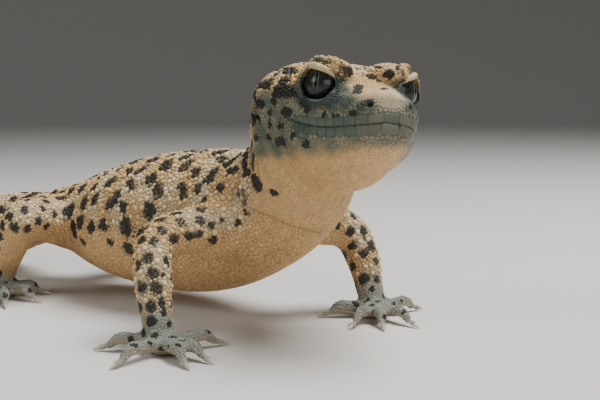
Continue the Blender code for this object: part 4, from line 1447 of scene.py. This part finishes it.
veins = add_node(tree, "TexNoise", Scale=1.0, Detail=6.0, Roughness=0.62, Distortion=1.2)
tree.links.new(stretch.outputs[0], veins.inputs["Vector"])
veined = two_tone(tree, veins.outputs[0], 0.48, (0.003, 0.006, 0.005), 0.74, (0.085, 0.11, 0.09))
edge_dark = math_node(tree, "MULTIPLY_ADD", radius, -5.0, 2.35, clamp=True)
iris = scaled_colour(tree, veined, edge_dark)
with_margin = add_node(tree, "Mix", data_type="RGBA")
tree.links.new(math_node(tree, "MULTIPLY", margin, taper), with_margin.inputs[0])
tree.links.new(iris, with_margin.inputs[6])
with_margin.inputs[7].default_value = (0.20, 0.19, 0.14, 1)
final = scaled_colour(tree, with_margin.outputs[2], pupil)
tree.links.new(final, shader.inputs["Base Color"])
bump(tree, shader, veins.outputs[0], 0.25, 0.0001)
print("eye finish:", len(tree.nodes), "nodes")

# %% Eyeballs
for word, side in (("left", 1), ("right", -1)):
    bpy.ops.mesh.primitive_uv_sphere_add(segments=48, ring_count=36, radius=EYE_RADIUS * MM)
    ball = bpy.context.object
    ball.name = "eyeball_" + word
    shape = read_points(ball)  # its pole is up; that becomes the way the eye looks
    tilt = np.degrees(np.arccos(np.clip(shape[:, 2] / EYE_RADIUS, -1, 1)))
    shape *= (0.99 + 0.035 * np.exp(-(tilt / 26) ** 2))[:, None]
    seen = shape[:, :2] / EYE_RADIUS
    looks, ahead, upright = eye_axes(side)
    turned = shape[:, 2:] * looks + shape[:, :1] * ahead * -side + shape[:, 1:2] * upright
    write_points(ball, from_head(EYE_PLACE * (1, side, 1) + turned))
    add_map(ball, "Eye", seen * 0.5 + 0.5)
    edit_whole(ball, bpy.ops.mesh.normals_make_consistent, inside=False)
    shade_smooth(ball)
    ball.data.materials.append(eye_finish)
    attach(ball, "root")
    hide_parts("eye_" + word)
    print("eyeball", word, "in place")

# %% [markdown]
# ## The claws
# Each toe ends in a short claw that curves down to the ground. The solid claws keep their shape, and
# get horn that is pale, finely streaked and a little see-through.

# %% Horn for the claws
horn_finish, tree, shader = new_finish("claw_horn", 0.3, Subsurface_Weight=0.3, Subsurface_Scale=0.0005)
streaked = two_tone(tree, noise(tree, 3500, 3.0), 0.3, (0.30, 0.24, 0.17), 0.7, (0.58, 0.52, 0.42))
tree.links.new(streaked, shader.inputs["Base Color"])
bump(tree, shader, noise(tree, 5200, 2.0), 0.2, 0.00004)
for name in claws:
    nodes[name].data.materials.clear()
    nodes[name].data.materials.append(horn_finish)
    activate(nodes[name])
    bpy.ops.object.shade_smooth_by_angle(angle=math.radians(50))
print("claws:", len(claws))

# %% [markdown]
# ## The studio
# A plain pale floor that bends up all round to a wall, soft light from three panels, and a low view
# along the ground, as one meets so small an animal.

# %% The floor
FLOOR_RADIUS, BEND_RADIUS, WALL_TOP, BEND_STEPS = 1.3, 0.9, 2.6, 12
bpy.ops.mesh.primitive_circle_add(vertices=96, radius=FLOOR_RADIUS + BEND_RADIUS, location=(0, 0, WALL_TOP))
floor = bpy.context.object
floor.name = "floor"
bpy.ops.object.transform_apply(location=True)
bpy.ops.object.mode_set(mode="EDIT")
bpy.ops.mesh.select_all(action="SELECT")
height, wide = WALL_TOP, FLOOR_RADIUS + BEND_RADIUS
for step in range(BEND_STEPS + 1):  # down the wall, then round the bend to the floor
    lean = math.pi / 2 * step / BEND_STEPS
    next_height = BEND_RADIUS * (1 - math.sin(lean))
    next_wide = FLOOR_RADIUS + BEND_RADIUS * math.cos(lean)
    bpy.ops.mesh.extrude_region_move(TRANSFORM_OT_translate={"value": (0, 0, next_height - height)})
    bpy.ops.transform.resize(value=(next_wide / wide, next_wide / wide, 1), center_override=(0, 0, 0))
    height, wide = next_height, next_wide
bpy.ops.mesh.edge_face_add()
bpy.ops.object.mode_set(mode="OBJECT")
edit_whole(floor, bpy.ops.mesh.normals_make_consistent, inside=True)
shade_smooth(floor)
print("floor: flat to", FLOOR_RADIUS, "m, at height", round(height, 4))
floor_finish, tree, shader = new_finish("floor_paper", 0.85)
shader.inputs["Base Color"].default_value = (0.62, 0.60, 0.57, 1)
bump(tree, shader, noise(tree, 400, 4.0), 0.08, 0.0004)
floor.data.materials.append(floor_finish)

# %% The view and the lights
camera = add_object("camera", bpy.data.cameras.new("camera"))
camera.location = (0.17756, -0.13969, 0.043)
camera.rotation_euler = (math.radians(90 - 5.99), 0, math.radians(40))
camera.data.lens = 60
camera.data.clip_start = 0.005
bpy.context.scene.camera = camera
PANELS = [  # place, size and power of each light
    ((0.22, 0.12, 0.55), 0.35, 6.4),
    ((-0.15, -0.5, 0.35), 0.3, 1.3),
    ((0.6, -0.25, 0.2), 0.3, 1.0),
]
for place, size, power in PANELS:
    bpy.ops.object.light_add(type="AREA", location=place)
    light = bpy.context.object
    light.data.size = size
    light.data.energy = power
    light.rotation_euler = (Vector((0.05, 0, 0.02)) - Vector(place)).to_track_quat("-Z", "Y").to_euler()
world = bpy.data.worlds.new("studio")
world.use_nodes = True
world.node_tree.nodes["Background"].inputs["Color"].default_value = (0.62, 0.64, 0.66, 1)
world.node_tree.nodes["Background"].inputs["Strength"].default_value = 0.24
bpy.context.scene.world = world
print("lights:", len(PANELS), "panels and a soft sky")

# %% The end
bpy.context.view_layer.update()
print("total", clock())
